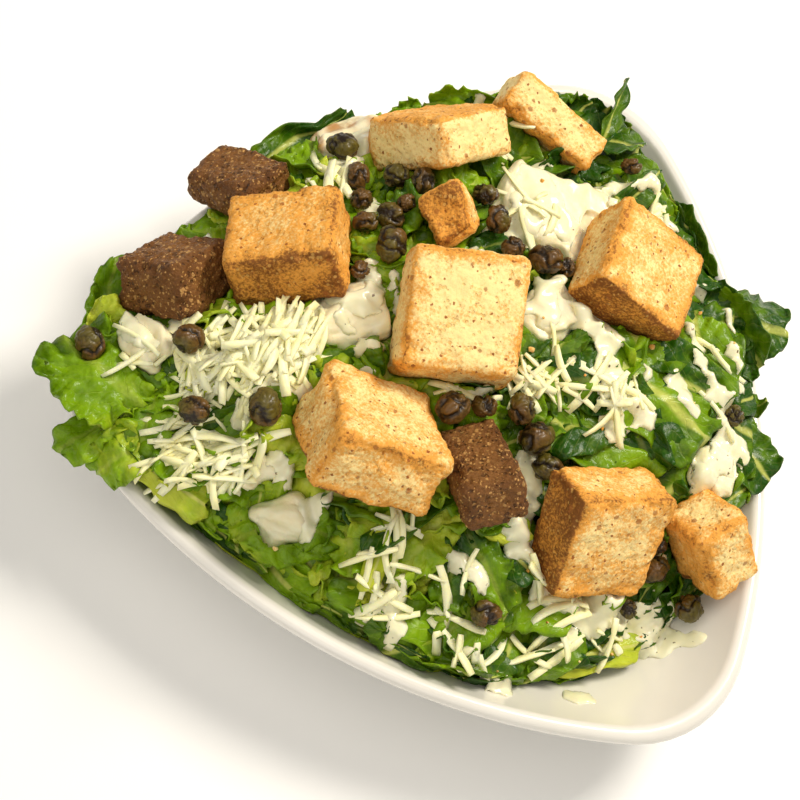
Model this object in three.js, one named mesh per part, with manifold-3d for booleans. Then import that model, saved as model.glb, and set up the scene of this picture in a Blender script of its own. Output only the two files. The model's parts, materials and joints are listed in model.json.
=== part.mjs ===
// A caesar salad served in a rounded, three-cornered dish: a heap of chopped romaine with chicken,
// croutons of pale and dark bread, and capers. Millimetres, +Z up. The origin is on the table, under
// the middle of the dish's bounding box.
import * as THREE from "three";
import { RoundedBoxGeometry } from "three/addons/geometries/RoundedBoxGeometry.js";
import { mergeVertices } from "three/addons/utils/BufferGeometryUtils.js";
import Module from "manifold-3d";

const wasm = await Module();
wasm.setup();

const { atan2, cos, exp, hypot, max, min, sin, sqrt, PI } = Math;
const { degToRad: rad, lerp, smoothstep } = THREE.MathUtils;

// ---- Driving dimensions -------------------------------------------------------------------------

const DISH = {
  cornerReach: 73.3, // from the middle to the centre of each corner's arc
  cornerRadius: 33.3,
  sideRadius: 192.7, // each side is a shallow outward arc
  backCorner: 90, // direction of one corner, in degrees; the others are a third of a turn away
  rimHeight: 34,
  floorHeight: 5,
  floorShare: 0.5, // the flat floor's share of the outline
  wallPower: 1.9, // how the wall steepens towards the rim
  thickness: 4.2,
  footShare: 0.44,
  footWidth: 3.2,
  underside: 2, // height of the floor's underside, inside and outside the foot ring
  footFlare: 1.6, // how far the foot spreads where it meets the underside
  rimDrop: 0.35, // how far the lip's outer edge lies under its inner one, in shares of the thickness
  sectors: 54,
  wallSteps: 5,
  lipSteps: 4,
};

const HEAP = {
  middle: [-16, 6],
  peak: 60,
  edgeShare: 0.94, // how much of the dish it covers, and where its edge draws in or reaches out
  edgeBends: [
    { towards: -33, spread: 22, by: -0.17 }, // the front right corner is nearly bare
    { towards: -100, spread: 40, by: -0.05 },
    { towards: 40, spread: 14, by: 0.05 },
    { towards: 155, spread: 35, by: 0.05 },
    { towards: 210, spread: 20, by: 0.06 },
  ],
  domePower: 2.8,
  lowDirection: -28, // towards the bare corner the dome falls away sooner
  lowPower: 1.2,
  lowSpread: 30,
  clearance: 0.8, // to the dish below it
  edgeThickness: 2.2,
  sectors: 44,
  topRings: 9,
  baseRings: [0.93, 0.7, 0.45, 0.2], // in shares of its reach
};

const GAP = 0.4; // between pieces that touch
const CRUST_RADIUS = 2.2; // of a crouton's edges
const MEAT_RADIUS = 2.4; // of a chicken piece's edges

// Croutons: size, place of the middle, and turns about Z, then Y, then X, in degrees.
const CROUTONS = {
  pale: [
    { size: [30, 26, 18], at: [-59, -2, 61], turn: [28, -26, -19] },
    { size: [14, 27, 29], at: [-39, 51, 58], turn: [-48, 37, -23] },
    { size: [31, 12, 16], at: [-15, 73, 55], turn: [-4, 13, 16] },
    { size: [29, 28, 18], at: [24, 40, 60], turn: [4, 24, -5] },
    { size: [31, 32, 19], at: [-12, 0, 69], turn: [21, 0, 18] },
    { size: [31, 31, 18], at: [-17, -38, 62], turn: [21, 17, -31] },
    { size: [30, 17, 31], at: [46, -25, 47], turn: [35, 16, -39] },
    { size: [18, 16, 22], at: [75, -10, 41], turn: [-36, -41, 9] },
    { size: [15, 13, 11], at: [-27, 27, 65], turn: [-31, 14, 31] },
  ],
  dark: [
    { size: [24, 18, 11], at: [-80.5, 16, 46], turn: [-8, -33, -15] },
    { size: [22, 23, 15], at: [-81, -18, 49], turn: [0, -37, -29] },
    { size: [16, 28, 14], at: [11, -32, 60], turn: [42, -10, -37] },
  ],
};

// Chicken: size, place on the heap, turn about the surface's normal, and how far it stands out.
const CHICKEN = [
  { size: [20, 16, 8], on: [-61, 45], turn: 25, proud: 2.5 },
  { size: [31, 24, 10], on: [-3, 47], turn: 10, proud: 2.5 },
  { size: [17, 14, 8], on: [9, 19], turn: 60, proud: 2 },
  { size: [20, 15, 8], on: [-37, -10], turn: 35, proud: 1.5 },
  { size: [15, 12, 7], on: [-79, -38], turn: -20, proud: 1.5 },
  { size: [15, 12, 7], on: [-27, -61], turn: 50, proud: 1.5 },
  { size: [14, 12, 7], on: [68, 8], turn: 15, proud: 2 },
  { size: [10, 7, 5], on: [-38, -55], turn: 80, proud: 1.5 },
];

// Capers: place on the heap and radius.
const CAPERS = [
  [-61, 37, 3.9],
  [-53, 28, 3.4],
  [-49, 22, 3.0],
  [-44, 33, 3.4],
  [-37, 34, 3.6],
  [-45, 15, 3.4],
  [-40, 20, 3.6],
  [-36, 11, 4.4],
  [-38, 26, 2.5],
  [-21, 39, 3.3],
  [-15, 33, 3.4],
  [-8, 28, 3.2],
  [1, 30, 4.4],
  [7, 32, 2.2],
  [-40, 1, 2.4],
  [11, 75, 2.7],
  [-91, -45, 4.0],
  [-69, -36, 3.8],
  [-59, -51, 4.1],
  [-44, -43, 4.4],
  [-3, -21, 4.2],
  [4, -15, 3.1],
  [13, -10, 3.9],
  [20, -14, 4.5],
  [26, -18, 3.8],
  [66, 24, 2.7],
  [65, -22, 3.9],
  [62, -17, 2.6],
  [64, -33, 2.5],
  [79, -24, 4.0],
  [29, -58, 3.5],
];

// ---- Materials ----------------------------------------------------------------------------------

const matte = (name, color, roughness) =>
  new THREE.MeshStandardMaterial({ name, color, roughness, metalness: 0 });

const MATERIALS = {
  glaze: matte("white glaze", "#f4f1ea", 0.18),
  romaine: matte("romaine", "#4f8a1c", 0.45),
  paleBread: matte("toasted pale bread", "#dda450", 0.85),
  darkBread: matte("dark rye bread", "#5a3418", 0.9),
  chicken: matte("chicken in dressing", "#ecdcb8", 0.5),
  caper: matte("caper", "#3f3818", 0.4),
};

// ---- Meshes and solids --------------------------------------------------------------------------

// A geometry with position only and its shared corners merged.
function bare(geometry) {
  geometry.deleteAttribute("normal");
  geometry.deleteAttribute("uv");
  return mergeVertices(geometry, 1e-3);
}

function toSolid(geometry) {
  return new wasm.Manifold(
    new wasm.Mesh({
      numProp: 3,
      vertProperties: new Float32Array(geometry.attributes.position.array),
      triVerts: new Uint32Array(geometry.index.array),
    }),
  );
}

function toGeometry(solid) {
  const { vertProperties, triVerts } = solid.getMesh();
  return new THREE.BufferGeometry()
    .setAttribute("position", new THREE.BufferAttribute(vertProperties, 3))
    .setIndex(new THREE.BufferAttribute(triVerts, 1));
}

function largestBody(solid) {
  return solid.decompose().reduce((a, b) => (a.volume() > b.volume() ? a : b));
}

function namedMesh(name, geometry, material) {
  const mesh = new THREE.Mesh(geometry, material);
  mesh.name = name;
  return mesh;
}

// Moves every corner of a geometry by a function that changes the vector it is given.
function reshape(geometry, move) {
  const { position } = geometry.attributes;
  const p = new THREE.Vector3();
  for (let i = 0; i < position.count; i++) {
    move(p.fromBufferAttribute(position, i));
    position.setXYZ(i, p.x, p.y, p.z);
  }
  return geometry;
}

// ---- The dish -----------------------------------------------------------------------------------

// Distance from the middle back to each side arc's centre, so that the arcs meet smoothly.
const { cornerReach: reach, cornerRadius, sideRadius } = DISH;
const sideSetBack = (sqrt(4 * (sideRadius - cornerRadius) ** 2 - 3 * reach ** 2) - reach) / 2;
const sideMiddle = sideRadius - sideSetBack; // the outline's least distance from the middle

// Half the angle that each corner's arc takes up, seen from the middle.
const cornerHalfAngle = (() => {
  const across = sideSetBack * sin(PI / 3);
  const along = reach + sideSetBack * cos(PI / 3);
  const length = hypot(across, along);
  return atan2((cornerRadius * across) / length, reach + (cornerRadius * along) / length);
})();

// The outline's distance from the middle in a direction given in radians.
function outlineAt(direction) {
  const third = (2 * PI) / 3;
  const fromBack = direction - rad(DISH.backCorner);
  const offCorner = fromBack - third * Math.round(fromBack / third);
  if (Math.abs(offCorner) < cornerHalfAngle) {
    const sideways = reach * sin(offCorner);
    return reach * cos(offCorner) + sqrt(cornerRadius ** 2 - sideways ** 2);
  }
  const offSide = Math.abs(offCorner) - third / 2;
  const sideways = sideSetBack * sin(offSide);
  return sqrt(sideRadius ** 2 - sideways ** 2) - sideSetBack * cos(offSide);
}

const lipShare = 1 - DISH.thickness / sideMiddle;

// Height of the dish's inner surface at a share of the outline.
function innerHeight(share) {
  const { floorHeight, rimHeight, floorShare, wallPower } = DISH;
  const up = max(0, (share - floorShare) / (lipShare - floorShare));
  return floorHeight + (rimHeight - floorHeight) * up ** wallPower;
}

// Height of the dish's surface at a place, rising early to the top of its lip.
function dishHeight(x, y) {
  const share = hypot(x, y) / outlineAt(atan2(y, x));
  const overLip = smoothstep(share, lipShare - 0.05, lipShare - 0.01);
  return lerp(innerHeight(min(share, lipShare)), DISH.rimHeight + DISH.thickness / 2, overLip);
}

// The section through the middle of a side, as points of (distance from the middle, height).
function dishSection() {
  const inner = [];
  for (let i = 0; i <= DISH.wallSteps; i++) {
    const share = DISH.floorShare + ((lipShare - DISH.floorShare) * i) / DISH.wallSteps;
    inner.push(new THREE.Vector2(share * sideMiddle, innerHeight(share)));
  }
  const outer = inner.map((p, i) => {
    const before = inner[max(0, i - 1)];
    const after = inner[min(inner.length - 1, i + 1)];
    const slope = after.clone().sub(before).normalize();
    return new THREE.Vector2(slope.y, -slope.x).multiplyScalar(DISH.thickness).add(p);
  });
  const innerRim = inner[inner.length - 1];
  const outerRim = new THREE.Vector2(sideMiddle, innerRim.y - DISH.thickness * DISH.rimDrop);
  outer[outer.length - 1] = outerRim;
  const lip = [];
  const lipMiddle = innerRim.clone().add(outerRim).multiplyScalar(0.5);
  const half = outerRim.clone().sub(lipMiddle);
  const over = new THREE.Vector2(-half.y, half.x);
  for (let i = 1; i < DISH.lipSteps; i++) {
    const turn = (PI * i) / DISH.lipSteps;
    const across = half.clone().multiplyScalar(cos(turn));
    lip.push(lipMiddle.clone().add(across).addScaledVector(over, sin(turn)));
  }
  const foot = DISH.footShare * sideMiddle;
  const { footWidth, footFlare, underside } = DISH;
  return [
    new THREE.Vector2(0, underside),
    new THREE.Vector2(foot - footWidth - footFlare / 2, underside),
    new THREE.Vector2(foot - footWidth, 0),
    new THREE.Vector2(foot, 0),
    new THREE.Vector2(foot + footFlare, underside),
    ...outer.slice(1),
    ...lip,
    ...inner.reverse(),
    new THREE.Vector2(0, DISH.floorHeight),
  ];
}

// The section turned about the middle, and each turn stretched out to the outline.
function makeDish() {
  const turned = new THREE.LatheGeometry(dishSection(), DISH.sectors);
  turned.rotateX(PI / 2);
  const stretched = reshape(bare(turned), (p) => {
    const stretch = outlineAt(atan2(p.y, p.x)) / sideMiddle;
    p.x *= stretch;
    p.y *= stretch;
  });
  return namedMesh("dish", toGeometry(toSolid(stretched)), MATERIALS.glaze);
}

// ---- The heap -----------------------------------------------------------------------------------

// A bump of height 1 around one direction, in degrees.
function bump(angle, towards, spread) {
  const off = ((((angle - towards + 180) % 360) + 360) % 360) - 180;
  return exp(-((off / spread) ** 2));
}

function edgeShareAt(degrees) {
  return HEAP.edgeBends.reduce(
    (share, { towards, spread, by }) => share + by * bump(degrees, towards, spread),
    HEAP.edgeShare,
  );
}

// The heap's edge in a direction seen from the heap's own middle: its reach and height.
function heapEdge(direction) {
  const [mx, my] = HEAP.middle;
  let reachOut = 0;
  for (let r = 20, step = 40; step > 0.05; step /= 2) {
    const x = mx + (r + step) * cos(direction);
    const y = my + (r + step) * sin(direction);
    const seen = atan2(y, x);
    if (hypot(x, y) / outlineAt(seen) < edgeShareAt((seen * 180) / PI)) r += step;
    reachOut = r;
  }
  const x = mx + reachOut * cos(direction);
  const y = my + reachOut * sin(direction);
  return { reachOut, height: dishHeight(x, y) + HEAP.edgeThickness + HEAP.clearance };
}

// Leafy unevenness of the top.
function lumps(x, y) {
  const broad = sin(x / 8 + 1.4 * sin(y / 12)) * cos(y / 9 + 0.5);
  const fine = sin((x + 1.7 * y) / 6.5) * cos((1.9 * x - y) / 8);
  return 1.3 * broad + 1.0 * fine;
}

// The heap's top at a place.
function heapHeight(x, y) {
  const [mx, my] = HEAP.middle;
  const direction = atan2(y - my, x - mx);
  const { reachOut, height } = heapEdge(direction);
  const out = min(1, hypot(x - mx, y - my) / reachOut);
  const low = bump((direction * 180) / PI, HEAP.lowDirection, HEAP.lowSpread);
  const dome = 1 - out ** (HEAP.domePower - HEAP.lowPower * low);
  return height + (HEAP.peak - height) * dome + lumps(x, y) * (1 - out ** 6);
}

function heapSolid() {
  const { sectors, topRings, baseRings } = HEAP;
  const [mx, my] = HEAP.middle;
  const rings = topRings + baseRings.length;
  const points = [mx, my, heapHeight(mx, my)];
  const faces = [];
  for (let k = 1; k <= rings; k++) {
    const onTop = k <= topRings;
    const out = onTop ? sqrt(k / topRings) : baseRings[k - topRings - 1];
    for (let i = 0; i < sectors; i++) {
      const direction = (2 * PI * i) / sectors;
      const { reachOut } = heapEdge(direction);
      const x = mx + out * reachOut * cos(direction);
      const y = my + out * reachOut * sin(direction);
      points.push(x, y, onTop ? heapHeight(x, y) : dishHeight(x, y) + HEAP.clearance);
      const next = (i + 1) % sectors;
      const here = 1 + (k - 1) * sectors;
      if (k === 1) faces.push(0, here + i, here + next);
      else {
        const inside = here - sectors;
        faces.push(inside + i, here + i, here + next, inside + i, here + next, inside + next);
      }
    }
  }
  const last = 1 + (rings - 1) * sectors;
  points.push(mx, my, dishHeight(mx, my) + HEAP.clearance);
  for (let i = 0; i < sectors; i++) {
    faces.push(last + i, points.length / 3 - 1, last + ((i + 1) % sectors));
  }
  const geometry = new THREE.BufferGeometry()
    .setAttribute("position", new THREE.BufferAttribute(new Float32Array(points), 3))
    .setIndex(faces);
  return toSolid(mergeVertices(geometry, 1e-3));
}

// Height of the middle of a ball that rests on the heap there.
function restHeight(x, y, radius) {
  let rest = heapHeight(x, y) + radius;
  for (let i = 0; i < 8; i++) {
    for (const out of [0.5, 0.85]) {
      const across = out * radius;
      const beside = heapHeight(x + across * cos((i * PI) / 4), y + across * sin((i * PI) / 4));
      rest = max(rest, beside + sqrt(radius ** 2 - across ** 2));
    }
  }
  return rest;
}

// A turn that lays a piece on the heap there, with its own Z along the surface's normal.
function layOnHeap(x, y, turn) {
  const reachOver = 6;
  const slopeX = (heapHeight(x + reachOver, y) - heapHeight(x - reachOver, y)) / (2 * reachOver);
  const slopeY = (heapHeight(x, y + reachOver) - heapHeight(x, y - reachOver)) / (2 * reachOver);
  const normal = new THREE.Vector3(-slopeX, -slopeY, 1).normalize();
  const tilt = new THREE.Quaternion().setFromUnitVectors(new THREE.Vector3(0, 0, 1), normal);
  const spin = new THREE.Quaternion().setFromAxisAngle(new THREE.Vector3(0, 0, 1), rad(turn));
  return { normal, quaternion: tilt.multiply(spin) };
}

// ---- Toppings -----------------------------------------------------------------------------------

// A block with rounded edges, cut a little out of square, and with uneven faces.
function unevenBlock([width, depth, height], radius, unevenness, seed) {
  const block = bare(new RoundedBoxGeometry(width, depth, height, 1, radius));
  const lean = 0.05 * sin(seed * 2.3);
  const taper = 0.05 * cos(seed * 1.7);
  return reshape(block, (p) => {
    const { x, y, z } = p;
    const [u, v, w] = [(2 * x) / width, (2 * y) / depth, (2 * z) / height];
    const swell = unevenness * sin(3 * u + seed) * cos(2.6 * v - seed) * sin(2.8 * w + 2 * seed);
    p.set(x * (1 + taper * w) + lean * z, y * (1 + taper * w) - lean * x, z);
    p.addScaledVector(new THREE.Vector3(u, v, w), swell);
  });
}

function makeCroutons(name, list, material) {
  return list.map(({ size, at, turn }, i) => {
    const mesh = namedMesh(`${name}_${i + 1}`, unevenBlock(size, CRUST_RADIUS, 0.5, i + 1), material);
    mesh.position.set(...at);
    mesh.rotation.set(rad(turn[2]), rad(turn[1]), rad(turn[0]), "ZYX");
    return mesh;
  });
}

function makeChicken() {
  return CHICKEN.map(({ size, on: [x, y], turn, proud }, i) => {
    const piece = namedMesh(`chicken_${i + 1}`, unevenBlock(size, MEAT_RADIUS, 0.7, 3 * i + 2), MATERIALS.chicken);
    const { normal, quaternion } = layOnHeap(x, y, turn);
    piece.quaternion.copy(quaternion);
    piece.position.set(x, y, heapHeight(x, y)).addScaledVector(normal, proud - size[2] / 2 + 1);
    return piece;
  });
}

// A bud with a slightly longer axis and a few flat petals' worth of lumps.
function makeCapers() {
  return CAPERS.map(([x, y, radius], i) => {
    const bud = bare(new THREE.IcosahedronGeometry(radius, 1));
    reshape(bud, (p) => {
      const along = 1 + 0.13 * cos(i * 1.9);
      p.multiplyScalar(1 + 0.03 * sin(p.x * 1.7 + i) * cos(p.y * 1.9 - i));
      p.x *= along;
      p.z *= 0.93;
    });
    const mesh = namedMesh(`caper_${i + 1}`, bud, MATERIALS.caper);
    mesh.position.set(x, y, restHeight(x, y, radius) + 2 * GAP);
    mesh.rotation.z = i * 2.4;
    return mesh;
  });
}

// The box around a block in the block's own axes, with the gap that touching pieces keep.
function boxAround(block) {
  block.updateMatrixWorld(true);
  block.geometry.computeBoundingBox();
  const box = block.geometry.boundingBox.clone().expandByScalar(GAP);
  const size = box.getSize(new THREE.Vector3());
  const middle = box.getCenter(new THREE.Vector3());
  const geometry = bare(new THREE.BoxGeometry(...size)).translate(...middle);
  return toSolid(geometry.applyMatrix4(block.matrixWorld));
}

// A mesh cut back from the blocks that press into it, left with its own place already in its corners.
function cutBack(mesh, blocks) {
  mesh.updateMatrixWorld(true);
  let solid = toSolid(mesh.geometry.clone().applyMatrix4(mesh.matrixWorld));
  for (const block of blocks) solid = solid.subtract(boxAround(block));
  return namedMesh(mesh.name, toGeometry(largestBody(solid)), mesh.material);
}

// ---- The whole ----------------------------------------------------------------------------------

const croutons = [
  ...makeCroutons("crouton_pale", CROUTONS.pale, MATERIALS.paleBread),
  ...makeCroutons("crouton_dark", CROUTONS.dark, MATERIALS.darkBread),
];
const chicken = makeChicken();
const cutChicken = chicken.map((piece) => cutBack(piece, croutons));
const capers = makeCapers();

const uncutHeap = namedMesh("lettuce_heap", toGeometry(heapSolid()), MATERIALS.romaine);
const heap = cutBack(uncutHeap, [...croutons, ...chicken]);

const salad = new THREE.Group();
salad.add(makeDish(), heap, ...croutons, ...cutChicken, ...capers);

// The outline reaches further back, to its corner, than forward, to its side.
const backReach = reach + cornerRadius;
salad.position.y = -(backReach - sideMiddle) / 2;

const whole = new THREE.Group();
whole.add(salad);

export default whole;
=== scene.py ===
"""A caesar salad heaped in a rounded, three-cornered dish.

Chopped romaine, croutons of pale and dark bread, chicken, capers, shredded cheese and a creamy dressing
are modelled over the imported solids, and lit for a studio picture. Sizes and places are millimetres in the
dish's own frame, whose origin is under the middle of its three corners; finished pieces are in metres.
"""

import json
import logging
import math
from dataclasses import dataclass
from enum import Enum
from random import Random
from typing import Callable, Iterable, Optional, Sequence

import bmesh
import bpy
import numpy as np
from bmesh.types import BMesh, BMVert
from bpy.types import NodeSocket, ShaderNodeTree
from mathutils import Matrix, Vector, noise
from mathutils.bvhtree import BVHTree

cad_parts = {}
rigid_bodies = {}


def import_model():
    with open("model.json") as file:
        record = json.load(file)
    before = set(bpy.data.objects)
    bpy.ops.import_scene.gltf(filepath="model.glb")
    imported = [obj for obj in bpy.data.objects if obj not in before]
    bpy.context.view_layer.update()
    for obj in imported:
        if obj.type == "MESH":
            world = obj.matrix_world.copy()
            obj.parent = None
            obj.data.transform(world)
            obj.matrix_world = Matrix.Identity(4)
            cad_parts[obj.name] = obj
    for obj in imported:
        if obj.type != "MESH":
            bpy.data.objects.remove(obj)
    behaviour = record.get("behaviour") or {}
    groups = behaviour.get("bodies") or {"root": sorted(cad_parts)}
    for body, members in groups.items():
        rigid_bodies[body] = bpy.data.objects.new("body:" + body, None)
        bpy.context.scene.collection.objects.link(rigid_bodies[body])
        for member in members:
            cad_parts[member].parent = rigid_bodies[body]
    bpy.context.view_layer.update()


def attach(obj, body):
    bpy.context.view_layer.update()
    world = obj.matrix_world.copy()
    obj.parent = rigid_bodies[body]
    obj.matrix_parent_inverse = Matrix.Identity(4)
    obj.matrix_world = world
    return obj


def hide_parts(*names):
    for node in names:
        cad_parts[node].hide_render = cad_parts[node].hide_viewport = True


LOG = logging.getLogger("caesar_salad")
MM = 0.001
HEAP = "lettuce_heap"
NOISE_SEED = 2
UP = Vector((0, 0, 1))
DOWN = Vector((0, 0, -1))
ABOVE_ALL = 150.0
BELOW_ALL = -20.0
Colour = tuple[float, float, float]


# ---- Numbers ------------------------------------------------------------------------------------


def clamp(value: float, low: float = 0.0, high: float = 1.0) -> float:
    """The value kept between two limits."""
    return max(low, min(high, value))


def smoothstep(low: float, high: float, value: float) -> float:
    """A smooth rise from 0 at low to 1 at high."""
    t = clamp((value - low) / (high - low))
    return t * t * (3 - 2 * t)


def lerp(a: float, b: float, share: float) -> float:
    """The value that share of the way from a to b."""
    return a + (b - a) * share


def rough(point: Vector, scale: float, seed: float = 0.0) -> float:
    """Smooth noise between about -1 and 1.

    Args:
        point: where to read it, in millimetres.
        scale: the size of its features, in millimetres.
        seed: moves the pattern elsewhere.

    Returns:
        The noise there.
    """
    return noise.noise(point / scale + Vector((seed * 7.31, seed * 3.17, seed * 5.73)))


def level_way(heading: float) -> Vector:
    """A level direction of length 1, from its angle in radians."""
    return Vector((math.cos(heading), math.sin(heading), 0))


def turned(heading: float, tilt: float = 0.0, roll: float = 0.0) -> Matrix:
    """A turn made of three, all in degrees.

    Args:
        heading: the last one, about Z.
        tilt: the second one, which raises what points along X.
        roll: the first one, about X.

    Returns:
        The turn.
    """
    about_z = Matrix.Rotation(math.radians(heading), 3, "Z")
    about_y = Matrix.Rotation(math.radians(-tilt), 3, "Y")
    about_x = Matrix.Rotation(math.radians(roll), 3, "X")
    return about_z @ about_y @ about_x


# ---- The dish's form ----------------------------------------------------------------------------


@dataclass(frozen=True)
class DishForm:
    """The dish's driving sizes, in millimetres, and the curves that follow from them."""

    corner_reach: float = 73.3
    corner_radius: float = 33.3
    side_radius: float = 192.7
    rim_height: float = 34.0
    floor_height: float = 5.0
    floor_share: float = 0.5
    wall_power: float = 1.9
    thickness: float = 4.2
    foot_share: float = 0.44
    foot_width: float = 3.2
    foot_flare: float = 1.6
    foot_rounding: float = 0.4
    underside: float = 2.0

    @property
    def side_set_back(self) -> float:
        """Distance from the middle back to the centre of each side's arc."""
        spread = 4 * (self.side_radius - self.corner_radius) ** 2
        return (math.sqrt(spread - 3 * self.corner_reach**2) - self.corner_reach) / 2

    @property
    def side_middle(self) -> float:
        """The outline's least distance from the middle."""
        return self.side_radius - self.side_set_back

    @property
    def lip_share(self) -> float:
        """The share of the outline at which the inner wall meets the lip."""
        return 1 - self.thickness / self.side_middle

    @property
    def shift(self) -> Vector:
        """From the dish's own middle to the row frame's origin, under the middle of its box."""
        back_reach = self.corner_reach + self.corner_radius
        return Vector((0, -(back_reach - self.side_middle) / 2, 0))

    def outline(self, direction: float) -> float:
        """Distance from the middle to the outline.

        Args:
            direction: the angle from +X, in radians.

        Returns:
            The distance in millimetres.
        """
        third = 2 * math.pi / 3
        from_back = direction - math.pi / 2
        off_corner = abs(from_back - third * round(from_back / third))
        across = self.side_set_back * math.sin(math.pi / 3)
        along = self.corner_reach + self.side_set_back * math.cos(math.pi / 3)
        length = math.hypot(across, along)
        corner_end = math.atan2(
            self.corner_radius * across / length,
            self.corner_reach + self.corner_radius * along / length,
        )
        if off_corner < corner_end:
            sideways = self.corner_reach * math.sin(off_corner)
            ahead = self.corner_reach * math.cos(off_corner)
            return ahead + math.sqrt(self.corner_radius**2 - sideways**2)
        off_side = off_corner - third / 2
        sideways = self.side_set_back * math.sin(off_side)
        ahead = self.side_set_back * math.cos(off_side)
        return math.sqrt(self.side_radius**2 - sideways**2) - ahead

    def share(self, x: float, y: float) -> float:
        """How far out a place is, as a share of the outline."""
        return math.hypot(x, y) / self.outline(math.atan2(y, x))

    def inner_height(self, share: float) -> float:
        """Height of the inner surface at a share of the outline."""
        up = max(0.0, (share - self.floor_share) / (self.lip_share - self.floor_share))
        return self.floor_height + (self.rim_height - self.floor_height) * up**self.wall_power

    def rest(self, x: float, y: float) -> float:
        """Finds the dish's surface, which is level with the lip beyond its inner edge.

        Args:
            x: millimetres in the dish's frame.
            y: millimetres in the dish's frame.

        Returns:
            Its height.
        """
        share = self.share(x, y)
        over = smoothstep(self.lip_share - 0.04, self.lip_share, share)
        inner = self.inner_height(min(share, self.lip_share))
        return lerp(inner, self.rim_height + self.thickness * 0.4, over)


DISH = DishForm()


# ---- Meshes -------------------------------------------------------------------------------------


def append_mesh(bm: BMesh, mesh: bpy.types.Mesh) -> list[BMVert]:
    """Adds a mesh to a bmesh.

    Args:
        bm: the bmesh that grows.
        mesh: the mesh to copy in.

    Returns:
        The new vertices.
    """
    first = len(bm.verts)
    bm.from_mesh(mesh)
    bm.verts.ensure_lookup_table()
    return bm.verts[first:]


def mesh_of(bm: BMesh, name: str) -> bpy.types.Mesh:
    """Puts a bmesh into a new mesh.

    Args:
        bm: the bmesh, which is freed.
        name: the mesh's name.

    Returns:
        The mesh.
    """
    mesh = bpy.data.meshes.new(name)
    bm.to_mesh(mesh)
    bm.free()
    return mesh


def placed(name: str, data: bpy.types.ID) -> bpy.types.Object:
    """Puts a mesh, a camera or a light into the scene.

    Args:
        name: the object's name.
        data: what it holds.

    Returns:
        The new object.
    """
    thing = bpy.data.objects.new(name, data)
    bpy.context.scene.collection.objects.link(thing)
    return thing


def middle_of(verts: Sequence[BMVert]) -> Vector:
    """The mean place of some vertices."""
    return sum((vert.co for vert in verts), Vector()) / len(verts)


def smoothed(bm: BMesh, factor: float, rounds: int = 1) -> None:
    """Evens out a bmesh.

    Args:
        bm: the bmesh.
        factor: how far each vertex moves towards the middle of its neighbours.
        rounds: how many times.
    """
    axes = {f"use_axis_{letter}": True for letter in "xyz"}
    for _ in range(rounds):
        bmesh.ops.smooth_vert(bm, verts=bm.verts, factor=factor, **axes)


def node_copy(node: str) -> BMesh:
    """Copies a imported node's mesh and merges its corners.

    Args:
        node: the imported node.

    Returns:
        A bmesh in millimetres in the dish's frame.
    """
    bm = bmesh.new()
    bm.from_mesh(bpy.data.objects[node].data)
    bmesh.ops.remove_doubles(bm, verts=bm.verts, dist=1e-6)
    bmesh.ops.scale(bm, verts=bm.verts, vec=(1 / MM,) * 3)
    bmesh.ops.translate(bm, verts=bm.verts, vec=-DISH.shift)
    return bm


def remeshed(bm: BMesh, voxel: float) -> BMesh:
    """The same solid with an even mesh.

    Args:
        bm: a closed solid, which is freed.
        voxel: the new mesh's spacing, in millimetres.

    Returns:
        A new bmesh.
    """
    mesh = mesh_of(bm, "remesh")
    holder = placed("remesh", mesh)
    modifier = holder.modifiers.new("remesh", "REMESH")
    modifier.mode = "VOXEL"
    modifier.voxel_size = voxel
    bpy.context.view_layer.update()
    even = bmesh.new()
    even.from_object(holder, bpy.context.evaluated_depsgraph_get())
    bpy.data.objects.remove(holder)
    bpy.data.meshes.remove(mesh)
    even.normal_update()
    return even


def thicken(bm: BMesh, thickness: float) -> None:
    """Closes an open sheet into a thin solid: its back lies straight behind each point of its front.

    Args:
        bm: the sheet.
        thickness: how thick it gets, in millimetres.
    """
    bm.normal_update()
    sheet = bm.faces[:] + bm.edges[:] + bm.verts[:]
    made = bmesh.ops.extrude_face_region(bm, geom=sheet, use_keep_orig=True)
    for part in made["geom"]:
        if isinstance(part, BMVert):
            part.co -= part.normal * thickness
    bmesh.ops.recalc_face_normals(bm, faces=bm.faces)


def finished_piece(
    bm: BMesh, name: str, material: bpy.types.Material, slot: str, nodes: Sequence[str] = ()
) -> bpy.types.Object:
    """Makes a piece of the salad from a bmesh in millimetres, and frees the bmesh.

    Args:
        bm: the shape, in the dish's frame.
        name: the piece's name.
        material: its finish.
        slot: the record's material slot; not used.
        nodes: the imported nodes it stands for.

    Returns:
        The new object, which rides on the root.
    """
    bmesh.ops.translate(bm, verts=bm.verts, vec=DISH.shift)
    bmesh.ops.scale(bm, verts=bm.verts, vec=(MM,) * 3)
    for face in bm.faces:
        face.smooth = True
    mesh = mesh_of(bm, name)
    mesh.materials.append(material)
    piece = placed(name, mesh)
    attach(piece, "root")
    if nodes:
        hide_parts(*nodes)
    return piece


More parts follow.
